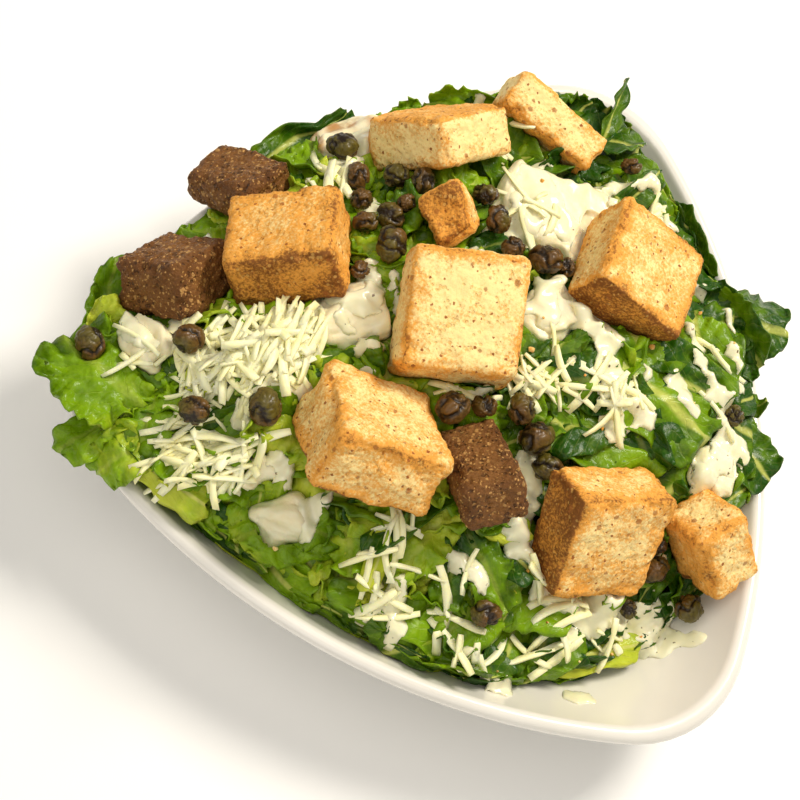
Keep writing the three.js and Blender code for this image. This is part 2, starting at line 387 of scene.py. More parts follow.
class Ground:
    """The surfaces made so far, on which the next things lie."""

    def __init__(self) -> None:
        """Starts with nothing."""
        self.trees: list[BVHTree] = []

    def add(self, bm: BMesh) -> None:
        """Remembers a bmesh's surface."""
        self.trees.append(BVHTree.FromBMesh(bm))

    def top(self, x: float, y: float) -> Optional[float]:
        """Height of the highest surface at a place, or None where there is nothing."""
        return max(self._hits(x, y, ABOVE_ALL, DOWN), default=None)

    def underside(self, x: float, y: float) -> Optional[float]:
        """Height of the lowest surface at a place, or None where there is nothing."""
        return min(self._hits(x, y, BELOW_ALL, UP), default=None)

    def _hits(self, x: float, y: float, start: float, way: Vector) -> list[float]:
        """Where an upright ray first meets each surface.

        Args:
            x: millimetres in the dish's frame.
            y: millimetres in the dish's frame.
            start: the height that the ray sets out from.
            way: up or down.

        Returns:
            The heights.
        """
        points = [tree.ray_cast(Vector((x, y, start)), way)[0] for tree in self.trees]
        return [point.z for point in points if point is not None]


class HeapSurface:
    """The heap's smooth outer form, without the hollows in which the toppings lie.

    It is kept on a square grid in the dish's frame, and its edge along evenly spread directions.
    """

    cell = 2.5
    reach = 115.0
    over_dish = 1.0
    filled_from = 55.0
    fill_rounds = 150
    directions = 120
    farthest_share = 1.1
    share_step = 0.01

    def __init__(self, node: str, toppings: Ground) -> None:
        """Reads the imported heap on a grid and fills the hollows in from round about.

        Args:
            node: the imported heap.
            toppings: the surfaces of what lies in its hollows.
        """
        count = int(2 * self.reach / self.cell) + 1
        bm = node_copy(node)
        tree = BVHTree.FromBMesh(bm)
        bm.free()
        height = np.zeros((count, count))
        known = np.zeros((count, count), bool)
        inside = np.zeros((count, count), bool)
        for i in range(count):
            for j in range(count):
                x, y = i * self.cell - self.reach, j * self.cell - self.reach
                point = tree.ray_cast(Vector((x, y, ABOVE_ALL)), DOWN)[0]
                height[i, j] = DISH.rest(x, y) + self.over_dish if point is None else point.z
                inside[i, j] = point is not None
                known[i, j] = toppings.top(x, y) is None or not inside[i, j]
        self.height = self._filled(height, known)
        self.inside = self._softened(inside.astype(float), 2)
        spread = math.tau / self.directions
        self.edges = [self._edge_share(i * spread) for i in range(self.directions)]

    def _edge_share(self, direction: float) -> float:
        """Finds the heap's edge.

        Args:
            direction: the angle from +X, in radians.

        Returns:
            The share of the dish's outline at which the heap ends that way.
        """
        out = level_way(direction) * DISH.outline(direction)
        for step in range(int(self.farthest_share / self.share_step)):
            share = self.farthest_share - step * self.share_step
            if self.cover(out.x * share, out.y * share) > 0.5:
                return share
        return 0.0

    def edge(self, x: float, y: float) -> float:
        """Reads the heap's edge in the direction of a place.

        Args:
            x: millimetres in the dish's frame.
            y: millimetres in the dish's frame.

        Returns:
            A share of the dish's outline.
        """
        turn = math.atan2(y, x) / math.tau % 1 * self.directions
        i = int(turn) % self.directions
        return lerp(self.edges[i], self.edges[(i + 1) % self.directions], turn - int(turn))

    @staticmethod
    def _beside(values: np.ndarray) -> np.ndarray:
        """For each point of a grid, the mean of its four neighbours."""
        return sum(np.roll(values, step, axis) for axis in (0, 1) for step in (1, -1)) / 4

    def _filled(self, height: np.ndarray, known: np.ndarray) -> np.ndarray:
        """Draws the unknown heights smoothly from their neighbours.

        Args:
            height: the heights.
            known: which of them are known.

        Returns:
            All the heights.
        """
        filled = height.copy()
        filled[~known] = self.filled_from
        for _ in range(self.fill_rounds):
            filled[~known] = self._beside(filled)[~known]
        return self._softened(filled, 2)

    def _softened(self, values: np.ndarray, rounds: int) -> np.ndarray:
        """Averages the values with their neighbours a few times.

        Args:
            values: a grid.
            rounds: how many times.

        Returns:
            The softer grid.
        """
        soft = values.copy()
        for _ in range(rounds):
            soft = (soft + self._beside(soft)) / 2
        return soft

    def _read(self, values: np.ndarray, x: float, y: float) -> float:
        """Reads a grid between its four nearest points.

        Args:
            values: the grid.
            x: millimetres in the dish's frame.
            y: millimetres in the dish's frame.

        Returns:
            Its value there.
        """
        last = values.shape[0] - 2
        u = clamp((x + self.reach) / self.cell, 0, last + 0.999)
        v = clamp((y + self.reach) / self.cell, 0, last + 0.999)
        i, j = int(u), int(v)
        low = lerp(values[i, j], values[i + 1, j], u - i)
        high = lerp(values[i, j + 1], values[i + 1, j + 1], u - i)
        return float(lerp(low, high, v - j))

    def top(self, x: float, y: float) -> float:
        """The heap's height at a place."""
        return self._read(self.height, x, y)

    def cover(self, x: float, y: float) -> float:
        """1 where the heap covers the dish, 0 where it doesn't."""
        return self._read(self.inside, x, y)


# ---- Finishes -----------------------------------------------------------------------------------


class Nodes:
    """A short way to write a node tree."""

    def __init__(self, tree: bpy.types.NodeTree) -> None:
        """Works in that tree."""
        self.tree = tree

    def add(self, kind: str, inputs: Optional[dict] = None, **settings: object) -> bpy.types.Node:
        """Adds a node.

        Args:
            kind: the node's type, without the ShaderNode in front.
            inputs: for each socket's name or place, a value or the output to link to it.
            settings: the node's own properties.

        Returns:
            The new node.
        """
        node = self.tree.nodes.new("ShaderNode" + kind)
        for key, value in settings.items():
            setattr(node, key, value)
        for key, value in (inputs or {}).items():
            if isinstance(value, NodeSocket):
                self.tree.links.new(value, node.inputs[key])
            else:
                node.inputs[key].default_value = value
        return node

    def place(self) -> NodeSocket:
        """The place on the piece, in metres."""
        return self.add("TexCoord").outputs["Object"]

    def attribute(self, name: str) -> NodeSocket:
        """A value that each vertex of the piece holds."""
        return self.add("Attribute", attribute_name=name).outputs["Fac"]

    def math(self, operation: str, a: object, b: object = 0.0, clamped: bool = False) -> NodeSocket:
        """The result of a Math node on two numbers or outputs."""
        return self.add("Math", {0: a, 1: b}, operation=operation, use_clamp=clamped).outputs[0]

    def ramp(
        self, value: object, low: float, high: float, to_low: float = 0.0, to_high: float = 1.0
    ) -> NodeSocket:
        """A value taken smoothly from one range to another, and kept inside it."""
        sockets = {"Value": value, "From Min": low, "From Max": high, "To Min": to_low, "To Max": to_high}
        return self.add("MapRange", sockets, interpolation_type="SMOOTHSTEP").outputs[0]

    def mix(self, share: object, a: object, b: object) -> NodeSocket:
        """Mixes two colours.

        Args:
            share: how much of the second, as a number or an output.
            a: the first, as a colour or an output.
            b: the second, as a colour or an output.

        Returns:
            The mixture.
        """
        sockets = {0: share, 6: a, 7: b}
        for key in (6, 7):
            if not isinstance(sockets[key], NodeSocket):
                sockets[key] = (*sockets[key], 1)
        return self.add("Mix", sockets, data_type="RGBA").outputs[2]

    def noise(self, vector: object, scale: float, detail: float = 3.0, rough: float = 0.55) -> NodeSocket:
        """Fine noise over a vector, with the given number of features in a metre."""
        sockets = {"Vector": vector, "Scale": scale, "Detail": detail, "Roughness": rough}
        return self.add("TexNoise", sockets).outputs["Fac"]

    def cells(self, vector: object, scale: float, feature: str = "F1") -> NodeSocket:
        """The distance output of a Voronoi texture."""
        sockets = {"Vector": vector, "Scale": scale}
        return self.add("TexVoronoi", sockets, feature=feature).outputs["Distance"]


def shared_group(
    name: str, inputs: dict[str, object], outputs: dict[str, str], fill: Callable
) -> ShaderNodeTree:
    """A shader node group, built the first time it is asked for.

    Args:
        name: the group's name.
        inputs: for each input, its default: a number or a colour.
        outputs: for each output, its socket type.
        fill: makes the group's nodes from a Nodes helper, the group's inputs and its output node.

    Returns:
        The group's tree.
    """
    if name in bpy.data.node_groups:
        return bpy.data.node_groups[name]
    tree = bpy.data.node_groups.new(name, "ShaderNodeTree")
    for label, default in inputs.items():
        kind = "NodeSocketFloat" if isinstance(default, (int, float)) else "NodeSocketColor"
        socket = tree.interface.new_socket(label, in_out="INPUT", socket_type=kind)
        socket.default_value = default if kind == "NodeSocketFloat" else (*default, 1)
    for label, kind in outputs.items():
        tree.interface.new_socket(label, in_out="OUTPUT", socket_type=kind)
    enter = tree.nodes.new("NodeGroupInput")
    leave = tree.nodes.new("NodeGroupOutput")
    fill(Nodes(tree), enter.outputs, lambda label, value: tree.links.new(value, leave.inputs[label]))
    return tree


@dataclass(frozen=True)
class Surface:
    """The constant shader values of a finish."""

    name: str
    roughness: float = 0.5
    specular: float = 0.5
    coat: float = 0.0
    coat_roughness: float = 0.1
    scatter: float = 0.0
    scatter_radius: Colour = (1.0, 0.5, 0.25)
    scatter_scale: float = 0.001
    bump: float = 0.3
    bump_distance: float = 0.0003

    def start(self) -> tuple[bpy.types.Material, Nodes, bpy.types.Node]:
        """A new material with its Principled shader set.

        Returns:
            The material, a helper for its tree, and the shader.
        """
        material = bpy.data.materials.new(self.name)
        material.use_nodes = True
        shader = material.node_tree.nodes["Principled BSDF"]
        shader.inputs["Roughness"].default_value = self.roughness
        shader.inputs["Specular IOR Level"].default_value = self.specular
        shader.inputs["Coat Weight"].default_value = self.coat
        shader.inputs["Coat Roughness"].default_value = self.coat_roughness
        shader.inputs["Subsurface Weight"].default_value = self.scatter
        shader.inputs["Subsurface Radius"].default_value = self.scatter_radius
        shader.inputs["Subsurface Scale"].default_value = self.scatter_scale
        return material, Nodes(material.node_tree), shader

    def connect(self, nodes: Nodes, shader: bpy.types.Node, colour: object, height: object = None) -> None:
        """Links what changes over the surface to the shader.

        Args:
            nodes: the material's tree.
            shader: its Principled shader.
            colour: the output with the colour.
            height: the output with the relief, if it has one.
        """
        nodes.tree.links.new(colour, shader.inputs["Base Color"])
        if height is not None:
            sockets = {"Strength": self.bump, "Distance": self.bump_distance, "Height": height}
            bump = nodes.add("Bump", sockets)
            nodes.tree.links.new(bump.outputs[0], shader.inputs["Normal"])


def speckle_group() -> ShaderNodeTree:
    """Makes the group that scatters small specks: a mask of round spots of uneven size.

    Returns:
        The group's tree.
    """

    def fill(nodes: Nodes, enter: object, leave: Callable) -> None:
        """Makes the group's nodes.

        Args:
            nodes: the group's tree.
            enter: the group's inputs.
            leave: links a value to one of the group's outputs.
        """
        place = nodes.place()
        bent = nodes.add("TexNoise", {"Vector": place, "Scale": 1600.0}).outputs["Color"]
        moved = nodes.add("VectorMath", {0: bent, 1: (0.0009,) * 3}, operation="MULTIPLY").outputs[0]
        moved = nodes.add("VectorMath", {0: place, 1: moved}, operation="ADD").outputs[0]
        spot = nodes.add("TexVoronoi", {"Vector": moved, "Scale": enter["Scale"]})
        size = nodes.add("SeparateColor", {0: spot.outputs["Color"]}).outputs[0]
        limit = nodes.math("MULTIPLY", nodes.math("POWER", size, 2.0), enter["Size"])
        near = nodes.math("SUBTRACT", limit, spot.outputs["Distance"])
        leave("Mask", nodes.ramp(near, -0.02, 0.10))

    inputs = {"Scale": 500.0, "Size": 0.4}
    return shared_group("speckle", inputs, {"Mask": "NodeSocketFloat"}, fill)


def speckles(nodes: Nodes, scale: float, size: float) -> NodeSocket:
    """Places the speckle group in a material.

    Args:
        nodes: the material's tree.
        scale: spots in a metre.
        size: the largest spot, as a share of their spacing.

    Returns:
        The mask output.
    """
    node = nodes.add("Group", {}, node_tree=speckle_group())
    node.inputs["Scale"].default_value = scale
    node.inputs["Size"].default_value = size
    return node.outputs["Mask"]


def crumb_group() -> ShaderNodeTree:
    """Makes the group for the open texture of bread: a height and a mask of its pores.

    Returns:
        The group's tree.
    """

    def fill(nodes: Nodes, enter: object, leave: Callable) -> None:
        """Makes the group's nodes.

        Args:
            nodes: the group's tree.
            enter: the group's inputs.
            leave: links a value to one of the group's outputs.
        """
        place = nodes.place()
        grain = nodes.noise(place, 1500.0, 4.0, 0.65)
        pore = nodes.add("TexVoronoi", {"Vector": place, "Scale": enter["Pores"]}).outputs["Distance"]
        patch = nodes.noise(place, 260.0, 2.0)
        open_here = nodes.ramp(patch, 0.4, 0.62, 0.12, 0.42)
        mask = nodes.ramp(nodes.math("SUBTRACT", open_here, pore), 0.0, 0.16)
        height = nodes.math("MULTIPLY", grain, 0.8)
        height = nodes.math("SUBTRACT", height, nodes.math("MULTIPLY", mask, 0.9))
        leave("Pores", mask)
        leave("Height", height)

    outputs = {"Pores": "NodeSocketFloat", "Height": "NodeSocketFloat"}
    return shared_group("bread_crumb", {"Pores": 700.0}, outputs, fill)


@dataclass(frozen=True)
class GlazeFinish:
    """White glaze, a little warm, with the faintest unevenness."""

    colour: Colour = (0.83, 0.805, 0.745)
    shade: Colour = (0.79, 0.76, 0.69)

    def material(self) -> bpy.types.Material:
        """Builds the material.

        Returns:
            The material.
        """
        surface = Surface(
            "white_glaze",
            roughness=0.22,
            specular=0.5,
            coat=0.6,
            coat_roughness=0.06,
            bump=0.12,
            bump_distance=0.0002,
        )
        material, nodes, shader = surface.start()
        place = nodes.place()
        cloud = nodes.noise(place, 28.0, 2.0)
        colour = nodes.mix(nodes.ramp(cloud, 0.3, 0.7), self.colour, self.shade)
        surface.connect(nodes, shader, colour, nodes.noise(place, 60.0, 1.0))
        return material


@dataclass(frozen=True)
class LeafFinish:
    """Romaine: yellow-green to deep green, with a pale rib and veins."""

    pale: Colour = (0.52, 0.58, 0.04)
    bright: Colour = (0.19, 0.34, 0.002)
    deep: Colour = (0.016, 0.070, 0.001)
    rib: Colour = (0.56, 0.58, 0.13)

    def material(self) -> bpy.types.Material:
        """Builds the material, which reads how deep a green each place is from the attribute tone.

        Returns:
            The material.
        """
        surface = Surface(
            "romaine_leaf",
            roughness=0.34,
            specular=0.2,
            coat=0.08,
            coat_roughness=0.06,
            scatter=0.1,
            scatter_radius=(0.6, 1.0, 0.1),
            scatter_scale=0.0012,
            bump=0.5,
            bump_distance=0.0005,
        )
        material, nodes, shader = surface.start()
        place = nodes.place()
        leaf = nodes.add("UVMap", uv_map="leaf").outputs[0]
        along, across, _ = nodes.add("SeparateXYZ", {0: leaf}).outputs
        tone = nodes.attribute("tone")
        ribbed = nodes.attribute("rib")
        cloud = nodes.noise(place, 160.0, 3.0)
        tone = nodes.math("ADD", tone, nodes.ramp(cloud, 0.25, 0.75, -0.14, 0.14), True)
        blade = nodes.mix(nodes.ramp(tone, 0.0, 0.5), self.pale, self.bright)
        blade = nodes.mix(nodes.ramp(tone, 0.42, 1.0), blade, self.deep)
        off = nodes.math("ABSOLUTE", nodes.math("SUBTRACT", across, 0.5))
        rib = nodes.math("MULTIPLY", nodes.ramp(off, 0.015, 0.075, 1.0, 0.0), ribbed)
        slant = nodes.math("SUBTRACT", nodes.math("MULTIPLY", along, 5.5), nodes.math("MULTIPLY", off, 6.0))
        slant = nodes.math("ADD", slant, nodes.math("MULTIPLY", cloud, 0.9))
        wave = nodes.math("ABSOLUTE", nodes.math("SUBTRACT", nodes.math("FRACT", slant, 0.0), 0.5))
        side_vein = nodes.math("MULTIPLY", nodes.ramp(wave, 0.0, 0.07, 1.0, 0.0), 0.7)
        net = nodes.cells(place, 330.0, "DISTANCE_TO_EDGE")
        fine_vein = nodes.ramp(net, 0.0, 0.09, 0.3, 0.0)
        vein = nodes.math("MAXIMUM", nodes.math("MAXIMUM", rib, side_vein), fine_vein)
        faint = nodes.math("MULTIPLY", vein, nodes.ramp(ribbed, 0.0, 1.0, 0.08, 0.16))
        colour = nodes.mix(rib, nodes.mix(faint, blade, self.rib), self.rib)
        blister = nodes.ramp(net, 0.0, 0.45)
        height = nodes.math("ADD", nodes.math("MULTIPLY", blister, 0.8), nodes.noise(place, 700.0, 2.0))
        height = nodes.math("SUBTRACT", height, nodes.math("MULTIPLY", side_vein, 0.5))
        surface.connect(nodes, shader, colour, height)
        return material


@dataclass(frozen=True)
class BreadFinish:
    """Toasted bread: a pale crumb, browned towards its edges, and a darker crust."""

    name: str
    crumb: Colour
    toasted: Colour
    crust: Colour
    # pore is darker than the crumb: painted shade inside the pores.
    pore: Colour
    speck: Colour
    specks: float = 620.0
    speck_size: float = 0.3
    pores: float = 700.0
    roughness: float = 0.72
    grain: float = 0.0005
    bump: float = 0.6

    def material(self) -> bpy.types.Material:
        """Builds the material, which reads from the attribute toast how browned each place is, with painted
        shade on the croutons' downward faces.

        Returns:
            The material.
        """
        surface = Surface(
            self.name,
            self.roughness,
            specular=0.3,
            scatter=0.12,
            scatter_radius=(1.0, 0.6, 0.3),
            bump=self.bump,
            bump_distance=self.grain,
        )
        material, nodes, shader = surface.start()
        place = nodes.place()
        toast = nodes.attribute("toast")
        crumb = nodes.add("Group", {}, node_tree=crumb_group())
        crumb.inputs["Pores"].default_value = self.pores
        cloud = nodes.noise(place, 130.0, 4.0, 0.6)
        fine = nodes.noise(place, 1300.0, 3.0, 0.65)
        browned = nodes.math("ADD", toast, nodes.ramp(cloud, 0.3, 0.7, -0.12, 0.14))
        browned = nodes.math("ADD", browned, nodes.ramp(fine, 0.3, 0.7, -0.18, 0.18), True)
        colour = nodes.mix(nodes.ramp(browned, 0.0, 0.5), self.crumb, self.toasted)
        colour = nodes.mix(nodes.ramp(browned, 0.5, 1.0), colour, self.crust)
        # The pores take the darker pore colour: painted shade inside them.
        colour = nodes.mix(nodes.math("MULTIPLY", crumb.outputs["Pores"], 0.5), colour, self.pore)
        colour = nodes.mix(speckles(nodes, self.specks, self.speck_size), colour, self.speck)
        blot = nodes.math("MULTIPLY", speckles(nodes, self.specks * 0.55, self.speck_size), 0.7)
        colour = nodes.mix(blot, colour, self.speck)
        surface.connect(nodes, shader, colour, crumb.outputs["Height"])
        return material


@dataclass(frozen=True)
class CaperFinish:
    """Dark, wrinkled, oily buds."""

    ridge: Colour = (0.125, 0.060, 0.010)
    # Near black: painted shade in the creases of the buds.
    crease_shade: Colour = (0.016, 0.008, 0.002)
    green: Colour = (0.105, 0.082, 0.010)

    def material(self) -> bpy.types.Material:
        """Builds the material, which reads how raised each place is from the attribute relief, and paints the
        low places near black as painted shade in the creases.

        Returns:
            The material.
        """
        surface = Surface(
            "caper_skin",
            roughness=0.4,
            specular=0.35,
            coat=0.08,
            coat_roughness=0.12,
            bump=0.35,
            bump_distance=0.0002,
        )
        material, nodes, shader = surface.start()
        place = nodes.place()
        relief = nodes.attribute("relief")
        fine = nodes.noise(place, 1300.0, 3.0)
        raised = nodes.math("ADD", relief, nodes.ramp(fine, 0.3, 0.7, -0.2, 0.2), True)
        skin = nodes.mix(nodes.ramp(nodes.noise(place, 90.0, 1.0), 0.42, 0.6), self.ridge, self.green)
        # The low places of each bud get the near-black colour: painted shade in its creases.
        colour = nodes.mix(nodes.ramp(raised, 0.2, 0.95), self.crease_shade, skin)
        surface.connect(nodes, shader, colour, fine)
        return material


@dataclass(frozen=True)
class ChickenFinish:
    """Cooked chicken: fibrous and pale, browned in places, slick with dressing."""

    flesh: Colour = (0.90, 0.80, 0.50)
    cream: Colour = (0.94, 0.88, 0.62)
    browned: Colour = (0.50, 0.26, 0.08)

    def material(self) -> bpy.types.Material:
        """Builds the material, which reads how browned each place is from the attribute toast.

        Returns:
            The material.
        """
        surface = Surface(
            "chicken_meat",
            roughness=0.42,
            specular=0.5,
            coat=0.3,
            coat_roughness=0.2,
            scatter=0.25,
            scatter_radius=(1.0, 0.7, 0.4),
            scatter_scale=0.0015,
            bump=0.5,
            bump_distance=0.0004,
        )
        material, nodes, shader = surface.start()
        place = nodes.place()
        toast = nodes.attribute("toast")
        cloud = nodes.noise(place, 170.0, 4.0)
        grain = nodes.noise(place, 800.0, 3.0)
        colour = nodes.mix(nodes.ramp(cloud, 0.35, 0.65), self.flesh, self.cream)
        brown = nodes.math("MULTIPLY", toast, nodes.ramp(cloud, 0.35, 0.6))
        colour = nodes.mix(brown, colour, self.browned)
        surface.connect(nodes, shader, colour, grain)
        return material


@dataclass(frozen=True)
class CheeseFinish:
    """Fine shreds of hard cheese."""

    colour: Colour = (0.97, 0.91, 0.47)
    light: Colour = (0.98, 0.96, 0.62)

    def material(self) -> bpy.types.Material:
        """Builds the material.

        Returns:
            The material.
        """
        surface = Surface(
            "hard_cheese",
            roughness=0.5,
            specular=0.45,
            coat=0.1,
            coat_roughness=0.3,
            scatter=0.3,
            scatter_radius=(1.0, 0.8, 0.4),
            scatter_scale=0.001,
            bump=0.4,
            bump_distance=0.0003,
        )
        material, nodes, shader = surface.start()
        place = nodes.place()
        cloud = nodes.noise(place, 120.0, 3.0)
        grain = nodes.noise(place, 1400.0, 3.0)
        colour = nodes.mix(nodes.ramp(cloud, 0.3, 0.7), self.colour, self.light)
        surface.connect(nodes, shader, colour, grain)
        return material


@dataclass(frozen=True)
class DressingFinish:
    """Creamy dressing with ground pepper in it."""

    cream: Colour = (0.98, 0.91, 0.62)
    thin: Colour = (0.94, 0.87, 0.55)
    pepper: Colour = (0.16, 0.10, 0.04)

    def material(self) -> bpy.types.Material:
        """Builds the material.

        Returns:
            The material.
        """
        surface = Surface(
            "creamy_dressing",
            roughness=0.24,
            specular=0.5,
            coat=0.4,
            coat_roughness=0.08,
            scatter=0.35,
            scatter_radius=(1.0, 0.75, 0.45),
            scatter_scale=0.002,
            bump=0.25,
            bump_distance=0.0003,
        )
        material, nodes, shader = surface.start()
        place = nodes.place()
        cloud = nodes.noise(place, 90.0, 3.0)
        colour = nodes.mix(nodes.ramp(cloud, 0.3, 0.7), self.cream, self.thin)
        colour = nodes.mix(speckles(nodes, 420.0, 0.22), colour, self.pepper)
        surface.connect(nodes, shader, colour, nodes.noise(place, 300.0, 2.0))
        return material


# ---- The dish -----------------------------------------------------------------------------------


@dataclass(frozen=True)
class Dish:
    """The glazed dish, turned from its section and drawn out to the rounded triangle."""

    sectors: int = 144
    wall_steps: int = 12
    lip_steps: int = 8

    def section(self) -> list[Vector]:
        """The section through the middle of a side, from under the middle round to above it.

        Returns:
            Points with the distance from the middle as x and the height as z.
        """
        form = DISH
        inner = []
        for i in range(self.wall_steps + 1):
            share = lerp(form.floor_share, form.lip_share, i / self.wall_steps)
            inner.append(Vector((share * form.side_middle, 0, form.inner_height(share))))
        outer = []
        for i, point in enumerate(inner):
            slope = (inner[min(i + 1, self.wall_steps)] - inner[max(i - 1, 0)]).normalized()
            outer.append(point + Vector((slope.z, 0, -slope.x)) * form.thickness)
        rim = Vector((form.side_middle, 0, inner[-1].z - form.thickness * 0.35))
        outer[-1] = rim
        middle = (inner[-1] + rim) / 2
        half = rim - middle
        over = Vector((-half.z, 0, half.x))
        lip = []
        for i in range(1, self.lip_steps):
            turn = math.pi * i / self.lip_steps
            lip.append(middle + half * math.cos(turn) + over * math.sin(turn))
        foot = form.foot_share * form.side_middle
        inside, rounding = foot - form.foot_width, form.foot_rounding
        below = [(0, form.underside), (inside - form.foot_flare / 2, form.underside), (inside, rounding)]
        below += [(inside + rounding, 0), (foot - rounding, 0), (foot, rounding)]
        below.append((foot + form.foot_flare, form.underside))
        bottom = [Vector((x, 0, z)) for x, z in below]
        return bottom + outer[1:] + lip + inner[::-1] + [Vector((0, 0, form.floor_height))]

    def build(self, ground: Ground) -> bpy.types.Object:
        """Makes the dish and remembers its surface.

        Args:
            ground: what later pieces lie on.

        Returns:
            The dish.
        """
        bm = bmesh.new()
        verts = [bm.verts.new(point) for point in self.section()]
        edges = [bm.edges.new(pair) for pair in zip(verts, verts[1:])]
        whole = {"cent": (0, 0, 0), "axis": (0, 0, 1), "angle": math.tau}
        bmesh.ops.spin(bm, geom=verts + edges, steps=self.sectors, use_merge=True, **whole)
        bmesh.ops.remove_doubles(bm, verts=bm.verts, dist=0.01)
        for vert in bm.verts:
            stretch = DISH.outline(math.atan2(vert.co.y, vert.co.x)) / DISH.side_middle
            vert.co.x *= stretch
            vert.co.y *= stretch
        bmesh.ops.recalc_face_normals(bm, faces=bm.faces)
        ground.add(bm)
        return finished_piece(bm, "glazed_dish", GlazeFinish().material(), "glaze", ["dish"])


# ---- Toppings -----------------------------------------------------------------------------------


def own_axes(bm: BMesh) -> Matrix:
    """A block's own axes, found from its largest flat faces.

    Args:
        bm: a block with flat faces.

    Returns:
        A turn from the block's own frame to the dish's.
    """
    faces = sorted(bm.faces, key=lambda face: -face.calc_area())
    first = faces[0].normal.copy()
    second = next((f.normal.copy() for f in faces if abs(f.normal.dot(first)) < 0.3), Vector((1, 0, 0)))
    second = (second - first * second.dot(first)).normalized()
    return Matrix((second, first.cross(second), first)).transposed()


@dataclass(frozen=True)
class Crouton:
    """One crouton: a cut block of bread with an open crumb, browned at its edges.

    The crust is the face that looks most towards crust_towards. Toast says how browned the crumb is all
    over, rim how much more it is at the edges and crust on the crust, and broken how ragged the block is.
    """

    node: str
    dark: bool = False
    crust_towards: tuple[float, float, float] = (0, 0, -1)
    crust: float = 0.55
    toast: float = 0.0
    seed: int = 1
    broken: float = 1.0
    rim: float = 0.6
    cell: float = 0.46

    def shape(self) -> BMesh:
        """The block's mesh with its crumb cut into it, and the attribute toast, which holds its browning and
        painted shade on the faces that look down.

        Returns:
            A bmesh in the dish's frame.
        """
        block = node_copy(self.node)
        block.normal_update()
        axes = own_axes(block)
        into = axes.transposed()
        centre = middle_of(block.verts)
        local = [into @ (v.co - centre) for v in block.verts]
        half = Vector([max(abs(p[k]) for p in local) for k in range(3)])
        bm = remeshed(block, self.cell)
        toast = bm.verts.layers.float.new("toast")
        crust_side = into @ Vector(self.crust_towards).normalized()
        k = max(range(3), key=lambda i: abs(crust_side[i]))
        crust_sign = math.copysign(1, crust_side[k])
        moves = []
        for vert in bm.verts:
            q = into @ (vert.co - centre)
            gaps = sorted(half[i] - abs(q[i]) for i in range(3))
            edge = min(1.0, 1.5 * math.exp(-max(gaps[1], 0) / (2.0 + 1.4 * rough(q, 5.0, self.seed + 5))))
            normal = into @ vert.normal
            on_crust = smoothstep(0.35, 0.85, normal[k] * crust_sign)
            # under darkens the faces that look down: painted shade beneath the crouton, added to its browning.
            under = smoothstep(0.1, -0.8, vert.normal.z)
            on_crust *= 1 - 0.6 * edge
            browned = self.toast + self.rim * edge + self.crust * on_crust + 0.3 * under
            vert[toast] = clamp(browned + 0.07 * rough(q, 1.0, self.seed + 4))
            moves.append(vert.normal * self.relief(q, edge, on_crust))
        for vert, move in zip(bm.verts, moves):
            vert.co += move
        bm.normal_update()
        return bm

    def relief(self, q: Vector, edge: float, on_crust: float) -> float:
        """How far the surface stands out at a place, in millimetres.

        Args:
            q: the place in the block's own frame.
            edge: 1 on the block's edges, 0 in the middle of its faces.
            on_crust: 1 on the crust, 0 elsewhere.

        Returns:
            The height above the plain block, negative in a pore.
        """
        grain = 0.42 if self.dark else 0.2
        swell = 0.7 * self.broken * rough(q, 8.0, self.seed) + 0.35 * rough(q, 2.6, self.seed + 1)
        swell += grain * rough(q, 1.1, self.seed)
        chip = -1.8 * self.broken * edge * smoothstep(0.05, 0.6, rough(q, 4.5 * self.broken, self.seed + 2))
        spaced = q / 2.1 + Vector((self.seed * 3.7, self.seed * 1.3, 0))
        near = noise.voronoi(spaced)[0][0]
        big_pore = -0.42 * self.broken * smoothstep(0.34, 0.08, near)
        near = noise.voronoi(q / 0.95 + Vector((0, self.seed * 2.9, 0)))[0][0]
        small_pore = -0.2 * smoothstep(0.42, 0.1, near)
        openness = lerp(1.0, 0.35, on_crust) * smoothstep(-0.55, 0.25, rough(q, 6.0, self.seed + 3))
        return swell + chip + (big_pore + small_pore) * openness


PALE_BREAD = BreadFinish(
    "toasted_pale_bread",
    crumb=(0.97, 0.76, 0.33),
    toasted=(0.80, 0.36, 0.055),
    crust=(0.22, 0.076, 0.010),
    pore=(0.80, 0.46, 0.12),
    speck=(0.33, 0.105, 0.018),
    speck_size=0.33,
)
DARK_BREAD = BreadFinish(
    "toasted_dark_bread",
    crumb=(0.25, 0.105, 0.022),
    toasted=(0.17, 0.064, 0.012),
    crust=(0.085, 0.030, 0.006),
    # The near-black pore colour is painted shade inside the dark bread's pores.
    pore=(0.035, 0.013, 0.004),
    speck=(0.60, 0.33, 0.10),
    specks=1300.0,
    speck_size=0.5,
    roughness=0.5,
    grain=0.0009,
    bump=1.0,
)


